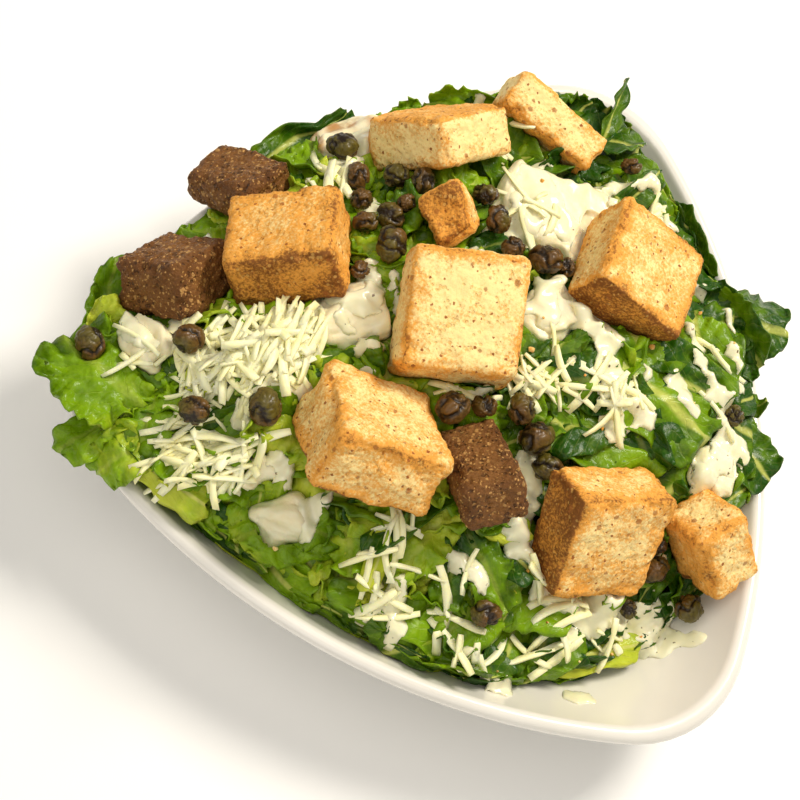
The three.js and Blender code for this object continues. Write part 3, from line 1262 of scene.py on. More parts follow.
@dataclass(frozen=True)
class Croutons:
    """All the croutons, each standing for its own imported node."""

    pieces: tuple[Crouton, ...] = (
        Crouton("crouton_pale_1", crust_towards=(0.35, -0.9, -0.1), toast=0.37, crust=0.3, seed=1),
        Crouton("crouton_pale_2", crust_towards=(-0.4, 0.7, 0.5), toast=-0.02, crust=0.45, seed=2),
        Crouton("crouton_pale_3", crust_towards=(0.2, -0.9, -0.2), toast=-0.05, crust=0.3, seed=3),
        Crouton("crouton_pale_4", crust_towards=(-0.2, -0.95, -0.2), toast=0.2, crust=0.6, seed=4),
        Crouton("crouton_pale_5", toast=0.03, seed=5, rim=0.7),
        Crouton(
            "crouton_pale_6", crust_towards=(-0.3, -0.95, -0.2), toast=0.2, crust=0.38, seed=6, broken=1.9
        ),
        Crouton("crouton_pale_7", crust_towards=(-0.85, -0.5, 0), toast=0.2, crust=0.6, seed=7),
        Crouton("crouton_pale_8", crust_towards=(-0.85, -0.5, 0), toast=0.1, crust=0.3, seed=8),
        Crouton("crouton_pale_9", crust_towards=(0, 0.2, 1), toast=0.12, crust=0.55, seed=9, broken=2.4),
        Crouton("crouton_dark_1", dark=True, toast=0.15, crust=0.3, seed=10),
        Crouton("crouton_dark_2", dark=True, toast=0.2, crust=0.3, seed=11),
        Crouton("crouton_dark_3", dark=True, toast=0.1, crust=0.3, seed=12),
    )

    def build(self, ground: Ground) -> list[bpy.types.Object]:
        """Makes every crouton and remembers its surface.

        Args:
            ground: what later pieces lie on.

        Returns:
            The croutons.
        """
        pale = PALE_BREAD.material()
        dark = DARK_BREAD.material()
        made = []
        for crouton in self.pieces:
            bm = crouton.shape()
            ground.add(bm)
            finish, slot = (dark, "dark_bread") if crouton.dark else (pale, "pale_bread")
            made.append(finished_piece(bm, f"{crouton.node}_toasted", finish, slot, [crouton.node]))
        return made


@dataclass(frozen=True)
class Chicken:
    """Pieces of chicken, pulled a little apart along their fibres. Lengths are in millimetres."""

    count: int = 8
    browned: tuple[int, ...] = (1,)
    cell: float = 0.55
    squareness: float = 2.8
    fibre_depth: float = 0.35
    clump_depth: float = 2.4

    def build(self, ground: Ground) -> list[bpy.types.Object]:
        """Makes every piece and remembers its surface.

        Args:
            ground: what later pieces lie on.

        Returns:
            The pieces.
        """
        material = ChickenFinish().material()
        made = []
        for i in range(1, self.count + 1):
            node = f"chicken_{i}"
            bm = self.shape(node, i)
            ground.add(bm)
            made.append(finished_piece(bm, f"{node}_meat", material, "chicken", [node]))
        return made

    def shape(self, node: str, seed: int) -> BMesh:
        """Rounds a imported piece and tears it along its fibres.

        Args:
            node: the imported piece.
            seed: which piece it is.

        Returns:
            A bmesh in the dish's frame, with the attribute toast.
        """
        block = node_copy(node)
        block.normal_update()
        into = own_axes(block).transposed()
        centre = middle_of(block.verts)
        half = Vector([max(abs((into @ (v.co - centre))[k]) for v in block.verts) for k in range(3)])
        bm = remeshed(block, self.cell)
        toast = bm.verts.layers.float.new("toast")
        heading = seed * 1.1
        along = Vector((math.cos(heading), math.sin(heading), 0.15)).normalized()
        moves = []
        for vert in bm.verts:
            p = vert.co
            run = along * p.dot(along)
            stretched = (p - run) + run / 4 + noise.noise_vector(p / 6) * 1.2
            fibre = rough(stretched, 1.5, seed) + 0.6 * rough(stretched, 0.8, seed + 1)
            clump = rough(stretched, 4.5, seed + 2)
            q = into @ (p - centre)
            over = sum(abs(q[k] / half[k]) ** self.squareness for k in range(3)) ** (1 / self.squareness)
            inwards = (p - centre) * (1 / max(over, 1.0) - 1)
            swell = self.fibre_depth * fibre + self.clump_depth * clump
            moves.append(inwards + vert.normal * swell)
            vert[toast] = smoothstep(-0.2, 0.5, rough(p, 5.0, seed)) if seed in self.browned else 0.0
        for vert, move in zip(bm.verts, moves):
            vert.co += move
        smoothed(bm, 0.5, rounds=3)
        bm.normal_update()
        return bm


@dataclass(frozen=True)
class Capers:
    """Capers: each packed bud wrinkled and ridged."""

    count: int = 31
    wrinkle: float = 0.75

    def build(self, ground: Ground) -> bpy.types.Object:
        """Makes all the capers as one piece and remembers their surface.

        Args:
            ground: what later pieces lie on.

        Returns:
            The capers.
        """
        bm = bmesh.new()
        relief = bm.verts.layers.float.new("relief")
        nodes = [f"caper_{i}" for i in range(1, self.count + 1)]
        for seed, node in enumerate(nodes):
            bud = node_copy(node)
            bmesh.ops.subdivide_edges(bud, edges=bud.edges, cuts=3, use_grid_fill=True, smooth=1.0)
            bmesh.ops.subdivide_edges(bud, edges=bud.edges, cuts=1, use_grid_fill=True)
            mesh = mesh_of(bud, node)
            verts = append_mesh(bm, mesh)
            bpy.data.meshes.remove(mesh)
            self.crease(verts, relief, seed)
        bm.normal_update()
        ground.add(bm)
        return finished_piece(bm, "capers_wrinkled", CaperFinish().material(), "caper", nodes)

    def crease(self, verts: Sequence[BMVert], relief: object, seed: int) -> None:
        """Rounds one bud and creases it softly, like a raisin.

        Args:
            verts: the bud's vertices.
            relief: the layer that says how raised each place is.
            seed: which bud it is.
        """
        centre = middle_of(verts)
        radius = sum((v.co - centre).length for v in verts) / len(verts)
        axis = Vector((math.cos(seed * 2.1), math.sin(seed * 2.1), 0.5)).normalized()
        for vert in verts:
            out = (vert.co - centre).normalized()
            bent = out + noise.noise_vector(out * 1.2 + Vector((seed, 0, 0))) * 0.4
            fold = smoothstep(0.0, 0.3, abs(rough(bent, 1.25, seed)))
            wrinkle = smoothstep(0.0, 0.45, abs(rough(bent, 0.36, seed + 7)))
            length = 0.88 + 0.19 * out.dot(axis) ** 2
            raised = 0.7 * fold + 0.3 * wrinkle
            vert.co = centre + out * (radius * length + self.wrinkle * (1.35 * raised - 0.85))
            vert[relief] = raised


# ---- Romaine ------------------------------------------------------------------------------------


class LeafKind(Enum):
    """How a piece of leaf grew, from the crinkled heart to the pale stalk."""

    FRILL = "frill"
    BLADE = "blade"
    RIB = "rib"


@dataclass(frozen=True)
class LeafForm:
    """How a kind of leaf stands out of its plane, in millimetres.

    Ribbed is how strongly its rib and veins show, and wave the length of its edge's ruffles.
    """

    blister: float = 0.9
    blister_size: float = 6.0
    fold: float = 3.0
    groove: float = 0.8
    thickness: float = 0.4
    ribbed: float = 0.7
    wave: float = 16.0


LEAF_FORMS = {
    LeafKind.FRILL: LeafForm(blister=2.7, blister_size=3.8, fold=3.8, groove=0.5, ribbed=0.2, wave=10.0),
    LeafKind.BLADE: LeafForm(),
    LeafKind.RIB: LeafForm(blister=0.25, fold=0.4, groove=-1.2, thickness=2.8, ribbed=1.0, wave=14.0),
}


@dataclass(frozen=True)
class Leaf:
    """One chopped piece of romaine, in millimetres and degrees.

    The tilt raises its tip, the roll its left side, the curl is what bends it across and the arch what
    bends it along, both in radians a millimetre. Spare is how far it may hang past the heap's edge, as
    a share of the dish's outline.
    """

    x: float
    y: float
    length: float = 24.0
    width: float = 16.0
    heading: float = 0.0
    tone: float = 0.5
    kind: LeafKind = LeafKind.BLADE
    lift: float = 0.0
    tilt: float = 5.0
    roll: float = 0.0
    curl: float = 0.04
    arch: float = 0.01
    ruffle: float = 1.6
    conform: float = 0.35
    spare: float = 0.0
    seed: int = 0


class LeafMaker:
    """Shapes pieces of leaf and lays them on the heap, under the toppings and over the dish.

    The heap stops a little shorter on the dish's bare side, whose direction and spread are in degrees.
    Trims are shares of the dish's outline, and other lengths are in millimetres.
    """

    cell = 1.15
    bare_side = 66.0
    bare_spread = 24.0
    bare_trim = 0.09
    edge_trim = 0.015
    past_edge = 0.2
    over_dish = 0.9
    under_topping = 0.6

    def __init__(self, heap: HeapSurface, toppings: Ground) -> None:
        """Keeps what the leaves lie on and under.

        Args:
            heap: the heap's outer form.
            toppings: what presses the leaves down.
        """
        self.heap = heap
        self.toppings = toppings

    def add(self, bm: BMesh, leaf: Leaf) -> None:
        """Adds one leaf to a bmesh.

        Args:
            bm: the bmesh that grows.
            leaf: the leaf's sizes and place.
        """
        form = LEAF_FORMS[leaf.kind]
        sheet = bmesh.new()
        uv = sheet.loops.layers.uv.new("leaf")
        tone = sheet.verts.layers.float.new("tone")
        rib = sheet.verts.layers.float.new("rib")
        columns = max(6, round(leaf.length / self.cell))
        rows = max(5, round(leaf.width / self.cell))
        bmesh.ops.create_grid(sheet, x_segments=columns, y_segments=rows, size=1.0)
        for face in sheet.faces:
            for loop in face.loops:
                loop[uv].uv = (loop.vert.co.xy + Vector((1, 1))) / 2
        turn = turned(leaf.heading, leaf.tilt, leaf.roll)
        ground = self.heap.top(leaf.x, leaf.y) + leaf.lift
        for vert in sheet.verts:
            s, t = vert.co.x, vert.co.y
            flat, relief = self.relief(leaf, form, s, t)
            spot = turn @ self.curled(leaf, flat, relief)
            x, y = self.gathered(leaf.x + spot.x, leaf.y + spot.y, leaf.spare)
            laid = self.heap.top(x, y) + leaf.lift + relief
            z = lerp(ground + spot.z, laid, leaf.conform)
            vert.co = Vector((x, y, self.settled(x, y, z)))
            vert[tone] = clamp(leaf.tone + 0.14 * s)
            vert[rib] = form.ribbed
        smoothed(sheet, 0.25)
        thicken(sheet, form.thickness)
        mesh = mesh_of(sheet, "leaf")
        append_mesh(bm, mesh)
        bpy.data.meshes.remove(mesh)

    @staticmethod
    def relief(leaf: Leaf, form: LeafForm, s: float, t: float) -> tuple[Vector, float]:
        """A point of the flat leaf and how far it stands out of it.

        Args:
            leaf: the leaf's sizes.
            form: the relief of its kind.
            s: the place along it, from -1 to 1.
            t: the place across it, from -1 to 1.

        Returns:
            The point in the leaf's own plane, and its height out of that plane.
        """
        out = max(abs(s), abs(t))
        around = math.atan2(t, s)
        circle = Vector((math.cos(around), math.sin(around), leaf.seed * 1.7))
        corner = 0.30 + 0.16 * noise.noise(circle * 0.7)
        uneven = 1 + 0.30 * noise.noise(circle * 1.2) * out + 0.07 * out**3 * noise.noise(circle * 2.8)
        flat = Vector((s * math.sqrt(1 - corner * t * t), t * math.sqrt(1 - corner * s * s), 0))
        flat = Vector((flat.x * leaf.length / 2, flat.y * leaf.width / 2, 0)) * uneven
        place = flat + Vector((0, 0, leaf.seed * 11.0))
        puff = 1.3 * abs(rough(place, form.blister_size)) + 0.5 * abs(rough(place, form.blister_size / 2, 1))
        around_mm = around * (leaf.length + leaf.width) / 2
        phase = around_mm * math.pi / form.wave + 2.5 * rough(place, 8.0, 3) + leaf.seed
        edge = smoothstep(0.25, 1.0, out)
        frill = leaf.ruffle * edge * (math.sin(phase * 2) + 0.22 * math.sin(phase * 4.7 + 1))
        fold = form.fold * rough(place, 9.5, 2)
        groove = form.groove * math.exp(-((flat.y / 1.5) ** 2))
        back = 1 - 0.025 * edge * math.cos(phase * 2) * min(1.0, leaf.ruffle / 2)
        return flat * back, form.blister * puff + fold + frill - groove

    @staticmethod
    def curled(leaf: Leaf, flat: Vector, relief: float) -> Vector:
        """Rolls a leaf about its rib and arches it along the rib.

        Args:
            leaf: the leaf's sizes.
            flat: a point in the leaf's own plane.
            relief: its height out of that plane.

        Returns:
            Where the point ends up.
        """
        x, y, z = flat.x, flat.y, relief
        if leaf.curl:
            turn = y * leaf.curl
            y = math.sin(turn) / leaf.curl
            z = (1 - math.cos(turn)) / leaf.curl + z * math.cos(turn)
        if leaf.arch:
            turn = x * leaf.arch
            x = math.sin(turn) / leaf.arch
            z = (math.cos(turn) - 1) / leaf.arch + z * math.cos(turn)
        return Vector((x, y, z))

    def gathered(self, x: float, y: float, spare: float) -> tuple[float, float]:
        """A place drawn back inside the heap's edge, so that leaves gather there.

        Args:
            x: millimetres in the dish's frame.
            y: millimetres in the dish's frame.
            spare: how far it may lie past the edge, as a share of the dish's outline.

        Returns:
            The place it is drawn back to.
        """
        share = DISH.share(x, y)
        off_bare = math.degrees(math.atan2(y, x)) - self.bare_side
        trim = self.bare_trim * math.exp(-((off_bare / self.bare_spread) ** 2))
        limit = self.heap.edge(x, y) + spare - self.edge_trim - trim
        if share <= limit:
            return x, y
        kept = (limit + (share - limit) * self.past_edge) / share
        return x * kept, y * kept

    def settled(self, x: float, y: float, z: float) -> float:
        """Keeps a leaf's point under the toppings and above the dish.

        Args:
            x: millimetres in the dish's frame.
            y: millimetres in the dish's frame.
            z: the height that it would have without them.

        Returns:
            The height that it gets.
        """
        if DISH.share(x, y) < 1.03:
            z = max(z, DISH.rest(x, y) + self.over_dish)
        topping = self.toppings.underside(x, y)
        if topping is not None and z > topping - self.under_topping:
            z = max(topping - self.under_topping, DISH.rest(x, y) + 0.5)
        return z


@dataclass(frozen=True)
class Romaine:
    """The chopped romaine: a core, a layer of seeded leaves, and the leaves that stand out.

    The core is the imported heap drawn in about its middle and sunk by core_depth, in millimetres, and its
    edge is kept back by core_inset, a share of the dish's outline.
    """

    filler: int = 420
    skirt: int = 78
    seed: int = 5
    middle: tuple[float, float] = (-14.0, 5.0)
    core_scale: float = 0.88
    core_depth: float = 5.0
    core_inset: float = 0.13
    core_cell: float = 2.0
    chosen: tuple[Leaf, ...] = (
        # place, length, width, heading, tone, kind, lift, tilt, roll, curl, arch, ruffle, conform, spare, seed
        Leaf(-85, -50, 28, 30, 165, 0.55, LeafKind.FRILL, 2.5, 4, 4, 0.05, 0.012, 2.6, 0.2, 0.2, 1),
        Leaf(-80, -62, 22, 13, 240, 0.42, LeafKind.FRILL, 1, -25, 0, 0.05, 0.03, 1.8, 0.2, 0.2, 2),
        Leaf(-70, -66, 18, 14, 235, 0.32, LeafKind.FRILL, 1, -20, 0, 0.05, 0.03, 1.8, 0.2, 0.1, 3),
        Leaf(-94, -30, 26, 12, 110, 0.6, LeafKind.FRILL, 1, 15, 20, 0.06, 0.0, 1.6, 0.3, 0.08, 4),
        Leaf(-74, 43, 33, 17, 68, 0.9, LeafKind.BLADE, 1, 6, 25, 0.05, 0.0, 1.0, 0.2, 0.09, 5),
        Leaf(1, 92, 23, 8, 95, 0.78, LeafKind.BLADE, 4, 20, 60, 0.07, 0.0, 0.6, 0.1, 0.08, 6),
        Leaf(60, 55, 24, 23, 10, 0.84, LeafKind.BLADE, 3, 12, -8, -0.04, 0.02, 1.4, 0.2, 0.2, 7),
        Leaf(76, 19, 17, 17, -20, 0.86, LeafKind.BLADE, 1, -4, 0, 0.05, 0.02, 1.2, 0.3, 0.1, 8),
        Leaf(51, 32, 30, 24, -60, 0.7, LeafKind.BLADE, 2, 5, 14, 0.03, 0.0, 1.2, 0.4, 0, 9),
        Leaf(44, 14, 40, 27, -10, 0.62, LeafKind.BLADE, 2.5, -4, -6, -0.03, 0.01, 1.2, 0.4, 0, 10),
        Leaf(30, 26, 34, 26, 150, 0.72, LeafKind.BLADE, 1, 6, 0, -0.03, 0.0, 1.2, 0.4, 0, 11),
        Leaf(37, -2, 34, 20, 200, 0.66, LeafKind.BLADE, 1.5, 4, 10, 0.04, 0.0, 1.4, 0.4, 0, 12),
        Leaf(14, 9, 26, 22, 90, 0.72, LeafKind.BLADE, 1, 8, 0, 0.03, 0.0, 1.2, 0.5, 0, 13),
        Leaf(62, 2, 30, 20, 240, 0.82, LeafKind.BLADE, 0, 0, 10, 0.03, 0.01, 1.4, 0.4, 0, 14),
        Leaf(-40, -17, 20, 16, 100, 0.36, LeafKind.FRILL, 2, 8, 10, 0.08, 0.0, 1.6, 0.3, 0, 15),
        Leaf(62, -46, 25, 9, 40, 0.05, LeafKind.RIB, 2, 2, 0, 0.02, 0.0, 0.2, 0.4, 0.08, 28),
        Leaf(-58, -66, 26, 9, -5, 0.05, LeafKind.RIB, 2, 0, 0, 0.05, 0.0, 0.2, 0.4, 0.05, 29),
        Leaf(23, -37, 16, 8, 18, 0.05, LeafKind.RIB, 2, 5, 0, 0.05, 0.0, 0.2, 0.4, 0, 30),
        Leaf(-2, -57, 22, 6, 100, 0.08, LeafKind.RIB, 2, 5, 0, 0.05, 0.0, 0.2, 0.4, 0, 31),
        Leaf(-50, 8, 20, 7, 60, 0.08, LeafKind.RIB, 2, 5, 0, 0.05, 0.0, 0.2, 0.4, 0, 32),
    )

    @staticmethod
    def tone_at(x: float, y: float, chance: Random) -> float:
        """Chooses how deep a green a leaf is.

        Args:
            x: millimetres in the dish's frame.
            y: millimetres in the dish's frame.
            chance: the source of chance.

        Returns:
            A value from 0, pale, to 1, deep.
        """
        to_right = smoothstep(-30, 45, x + 0.35 * y)
        return clamp(lerp(0.48, 0.90, to_right) + chance.gauss(0, 0.2), 0.1, 1.0)

    def layer(self, heap: HeapSurface) -> Iterable[Leaf]:
        """The seeded leaves.

        Args:
            heap: the heap's outer form.

        Yields:
            One leaf at a time, the middle ones first.
        """
        chance = Random(self.seed)
        golden = math.pi * (3 - math.sqrt(5))
        for i in range(self.filler):
            out = math.sqrt((i + 0.5) / self.filler) * 1.03
            direction = i * golden
            reach = out * DISH.outline(direction) * 0.94
            x = -16 * (1 - out) + reach * math.cos(direction) + chance.uniform(-3, 3)
            y = 6 * (1 - out) + reach * math.sin(direction) + chance.uniform(-3, 3)
            if heap.cover(x, y) < 0.4:
                continue
            tone = self.tone_at(x, y, chance)
            frilly = tone < 0.55 or chance.random() < 0.25
            strip = chance.random() < 0.3
            length = chance.uniform(15, 28) * (1 if frilly else 1.3)
            yield Leaf(
                x,
                y,
                length=length,
                width=chance.uniform(6, 10) if strip else chance.uniform(0.5, 0.85) * length,
                heading=chance.uniform(0, 360),
                tone=tone,
                kind=LeafKind.FRILL if frilly else LeafKind.BLADE,
                lift=chance.uniform(-5.5, 1.0),
                tilt=chance.gauss(4, 14),
                roll=chance.gauss(0, 24),
                curl=chance.choice((-1, 1)) * chance.uniform(0.02, 0.11),
                arch=chance.uniform(-0.02, 0.035),
                ruffle=chance.uniform(1.2, 2.6) if frilly else chance.uniform(0.6, 1.6),
                conform=chance.uniform(0.15, 0.45),
                seed=100 + i,
            )

    def around(self, heap: HeapSurface, maker: LeafMaker) -> Iterable[Leaf]:
        """The leaves on the heap's steep side, between its top and the dish.

        Args:
            heap: the heap's outer form.
            maker: what says where the heap's edge is.

        Yields:
            One leaf at a time, around the heap.
        """
        chance = Random(self.seed + 1)
        for i in range(self.skirt):
            direction = math.tau * (i + chance.uniform(-0.3, 0.3)) / self.skirt
            rim = level_way(direction) * DISH.outline(direction)
            x, y = maker.gathered(rim.x, rim.y, -0.05)
            depth = heap.top(x, y) - DISH.rest(x, y)
            length = chance.uniform(18, 26)
            yield Leaf(
                x,
                y,
                length=length,
                width=chance.uniform(0.5, 0.75) * length,
                heading=math.degrees(direction) + 90 + chance.gauss(0, 25),
                tone=self.tone_at(x, y, chance),
                kind=LeafKind.FRILL if chance.random() < 0.5 else LeafKind.BLADE,
                lift=-depth * (0.35 if i % 2 else 0.7),
                tilt=chance.gauss(0, 10),
                roll=chance.gauss(45, 12),
                curl=chance.uniform(-0.06, 0.06),
                arch=chance.uniform(-0.02, 0.03),
                ruffle=chance.uniform(1.0, 2.0),
                conform=0.0,
                seed=700 + i,
            )

    def core(self, maker: LeafMaker, material: bpy.types.Material) -> bpy.types.Object:
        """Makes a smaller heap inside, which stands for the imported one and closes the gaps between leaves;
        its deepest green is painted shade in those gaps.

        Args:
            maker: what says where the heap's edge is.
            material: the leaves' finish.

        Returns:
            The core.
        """
        bm = node_copy(HEAP)
        middle_x, middle_y = self.middle
        for vert in bm.verts:
            p = vert.co
            floor = DISH.rest(p.x, p.y) + maker.over_dish
            x = lerp(middle_x, p.x, self.core_scale)
            y = lerp(middle_y, p.y, self.core_scale)
            p.x, p.y = maker.gathered(x, y, -self.core_inset)
            sunk = lerp(floor, p.z, self.core_scale) - self.core_depth
            p.z = max(DISH.rest(p.x, p.y) + 0.6, sunk)
        bm = remeshed(bm, self.core_cell)
        tone = bm.verts.layers.float.new("tone")
        bm.loops.layers.uv.new("leaf")
        for vert in bm.verts:
            vert.co += vert.normal * (rough(vert.co, 7.0) * 2.0 - 0.6)
            # The core's deepest green is painted shade in the gaps between the leaves.
            vert[tone] = 0.95
        return finished_piece(bm, "romaine_core", material, "romaine", [HEAP])

    def build(self, heap: HeapSurface, toppings: Ground, ground: Ground) -> list[bpy.types.Object]:
        """Makes the core and all the leaves, and remembers their surface.

        Args:
            heap: the heap's outer form.
            toppings: what lies on the leaves.
            ground: what later pieces lie on.

        Returns:
            The pieces.
        """
        material = LeafFinish().material()
        maker = LeafMaker(heap, toppings)
        made = [self.core(maker, material)]
        groups = {"romaine_1": [], "romaine_2": [], "romaine_3": [], "romaine_chosen": list(self.chosen)}
        groups["romaine_around"] = list(self.around(heap, maker))
        for leaf in self.layer(heap):
            third = "1" if leaf.x < -30 else "2" if leaf.x < 14 else "3"
            groups[f"romaine_{third}"].append(leaf)
        for name, leaves in groups.items():
            bm = bmesh.new()
            for leaf in leaves:
                maker.add(bm, leaf)
            ground.add(bm)
            LOG.info("%s has %d leaves, %d faces", name, len(leaves), len(bm.faces))
            made.append(finished_piece(bm, name, material, "romaine"))
        return made


# ---- Cheese -------------------------------------------------------------------------------------


@dataclass(frozen=True)
class ShredPatch:
    """A place where shreds of cheese lie, in millimetres, and their main heading in degrees."""

    x: float
    y: float
    spread: float
    count: int
    heading: Optional[float] = None


@dataclass(frozen=True)
class Cheese:
    """Shredded cheese: short bent strips, scattered in patches.

    Each is laid along a straight line through the heights under it at the shares of its length in probes.
    """

    width: float = 1.9
    depth: float = 0.6
    scatter: float = 30.0
    probes: tuple[float, ...] = (-0.4, -0.2, 0, 0.2, 0.4)
    steepest: float = 0.9
    clear: float = 1.5
    farthest_share: float = 0.9
    tries: int = 6
    pile_cell: int = 3
    pile_step: float = 0.35
    pile_most: float = 4.0
    seed: int = 11
    patches: tuple[ShredPatch, ...] = (
        # x, y, spread, count, heading
        ShredPatch(-60, -33, 8, 46, 70),
        ShredPatch(-52, -27, 7, 66, 78),
        ShredPatch(-46, -23, 5, 36, 95),
        ShredPatch(-52, -36, 7, 40, 85),
        ShredPatch(-62, -44, 7, 14),
        ShredPatch(-56, -55, 7, 22, 40),
        ShredPatch(-49, -59, 6, 16, 60),
        ShredPatch(-57, -64, 5, 6, 80),
        ShredPatch(-42, -54, 5, 8, 100),
        ShredPatch(-1, -52, 5, 6),
        ShredPatch(0, -61, 6, 6),
        ShredPatch(1, -69, 5, 4),
        ShredPatch(19, -62, 7, 5),
        ShredPatch(33, -68, 6, 4),
        ShredPatch(25, -68, 5, 3),
        ShredPatch(32, 6, 7, 14),
        ShredPatch(18, 4, 7, 9),
        ShredPatch(24, 66, 6, 8),
        ShredPatch(44, -44, 6, 6),
        ShredPatch(62, -44, 6, 5),
        ShredPatch(-4, -14, 5, 10),
        ShredPatch(8, -4, 5, 10),
        ShredPatch(-8, 42, 9, 7),
        ShredPatch(-60, 22, 8, 10),
        ShredPatch(-30, 60, 9, 8),
        ShredPatch(55, 30, 9, 3),
        ShredPatch(52, -52, 4, 3),
        ShredPatch(46, -58, 2, 2, 20),
        ShredPatch(-80, -46, 5, 4),
    )

    def blank(self) -> bpy.types.Mesh:
        """Makes a straight strip a millimetre long, with enough steps along it to bend.

        Returns:
            Its mesh.
        """
        bm = bmesh.new()
        bmesh.ops.create_cube(bm, size=1.0)
        lengthwise = [e for e in bm.edges if abs(e.verts[0].co.x - e.verts[1].co.x) > 0.5]
        bmesh.ops.subdivide_edges(bm, edges=lengthwise, cuts=5, use_grid_fill=True)
        return mesh_of(bm, "shred_blank")

    def build(self, ground: Ground, toppings: Ground) -> bpy.types.Object:
        """Makes all the shreds as one piece.

        Args:
            ground: what they lie on.
            toppings: what they keep clear of.

        Returns:
            The shreds.
        """
        blank = self.blank()
        bm = bmesh.new()
        pile: dict[tuple[int, int], float] = {}
        for i, patch in enumerate(self.patches):
            chance = Random(self.seed * 100 + i)
            for _ in range(patch.count):
                for _ in range(self.tries):
                    if self.drop(bm, blank, patch, (ground, toppings), pile, chance):
                        break
        bpy.data.meshes.remove(blank)
        bm.normal_update()
        return finished_piece(bm, "cheese_shreds", CheeseFinish().material(), "chicken")

    def drop(
        self,
        bm: BMesh,
        blank: bpy.types.Mesh,
        patch: ShredPatch,
        around: tuple[Ground, Ground],
        pile: dict[tuple[int, int], float],
        chance: Random,
    ) -> bool:
        """Lays one shred on whatever is highest under it, unless a topping is in its way.

        Args:
            bm: the bmesh that grows.
            blank: the straight strip to bend.
            patch: the place it falls in.
            around: what it lies on, and what it keeps clear of.
            pile: how high the shreds already lie in each small square.
            chance: the source of chance.

        Returns:
            Whether it found room.
        """
        ground, toppings = around
        x = chance.gauss(patch.x, patch.spread * 0.6)
        y = chance.gauss(patch.y, patch.spread * 0.6)
        if DISH.share(x, y) > self.farthest_share:
            return False
        aimed = patch.heading is not None
        heading = chance.gauss(patch.heading, self.scatter) if aimed else chance.uniform(0, 180)
        length = chance.uniform(9, 20) if chance.random() < 0.65 else chance.uniform(3, 9)
        run = level_way(math.radians(heading))
        heights = []
        for along in self.probes:
            hit = ground.top(x + run.x * along * length, y + run.y * along * length)
            heights.append(0.0 if hit is None else hit)
        slope, level = np.polyfit(self.probes, heights, 1)
        slope = clamp(slope / length, -self.steepest, self.steepest)
        above = max(h - (level + slope * length * a) for h, a in zip(heights, self.probes))
        for along, height in zip((-0.45, -0.2, 0, 0.2, 0.45), heights):
            under = toppings.underside(x + run.x * along * length, y + run.y * along * length)
            if under is not None and under < height + self.clear:
                return False
        cell = (int(x // self.pile_cell), int(y // self.pile_cell))
        stacked = pile.get(cell, 0.0)
        pile[cell] = stacked + self.pile_step
        tilt = math.degrees(math.atan(slope)) + chance.uniform(-7, 7)
        turn = turned(heading, tilt, chance.uniform(-38, 38))
        lift = above * 0.6 + self.depth * 0.4 + min(stacked, self.pile_most)
        middle = Vector((x, y, level + lift))
        bow = chance.gauss(0, 0.045)
        sag = chance.uniform(-0.02, 0.05)
        twist = chance.gauss(0, 0.05)
        width = self.width * chance.uniform(0.55, 1.25)
        depth = self.depth * chance.uniform(0.7, 1.3)
        for vert in append_mesh(bm, blank):
            along = vert.co.x * length
            taper = (1 - 0.22 * abs(2 * vert.co.x) ** 7) * (1 + 0.3 * rough(middle + run * along, 3.5))
            p = Vector((along, vert.co.y * width * taper, vert.co.z * depth * taper))
            p.yz = p.yz + along * twist * Vector((-p.z, p.y))
            p.y += bow * along * along / 2
            p.z -= sag * along * along / 2
            vert.co = middle + turn @ p
        return True


# ---- Crumbs -------------------------------------------------------------------------------------


@dataclass(frozen=True)
class Crumbs:
    """Bits of bread that have broken off the croutons, in millimetres."""

    count: int = 40
    least: float = 0.3
    most: float = 0.9
    farthest_share: float = 0.85
    seed: int = 31
    on_dish: tuple[tuple[float, float], ...] = ((58, -52), (66, -44), (38, -68), (71, -36))

    def places(self, chance: Random) -> Iterable[tuple[float, float]]:
        """Chooses where the crumbs fall.

        Args:
            chance: the source of chance.

        Yields:
            A few places on the bare dish, then the rest all over the salad.
        """
        yield from self.on_dish
        for _ in range(self.count):
            direction, out = chance.uniform(0, math.tau), self.farthest_share * math.sqrt(chance.random())
            fall = level_way(direction) * (out * DISH.outline(direction))
            yield fall.x, fall.y

    def build(self, ground: Ground, toppings: Ground) -> bpy.types.Object:
        """Makes all the crumbs as one piece.

        Args:
            ground: what they lie on.
            toppings: what they keep clear of.

        Returns:
            The crumbs.
        """
        chance = Random(self.seed)
        bm = bmesh.new()
        toast = bm.verts.layers.float.new("toast")
        for x, y in self.places(chance):
            hit = ground.top(x, y)
            if hit is None or toppings.top(x, y) is not None:
                continue
            size = lerp(self.least, self.most, chance.random() ** 2)
            middle = Vector((x, y, hit + size / 2))
            browned = chance.uniform(0.0, 0.5)
            for vert in bmesh.ops.create_icosphere(bm, subdivisions=2, radius=size)["verts"]:
                vert.co = middle + vert.co * (1 + 0.7 * rough(middle + vert.co, size * 1.2))
                vert[toast] = browned
        return finished_piece(bm, "bread_crumbs", bpy.data.materials[PALE_BREAD.name], "pale_bread")


# ---- Dressing -----------------------------------------------------------------------------------


@dataclass(frozen=True)
class Streak:
    """Dressing poured from one place to the next, in millimetres."""

    x: float
    y: float
    to_x: float
    to_y: float
    width: float = 5.0
    depth: float = 1.6


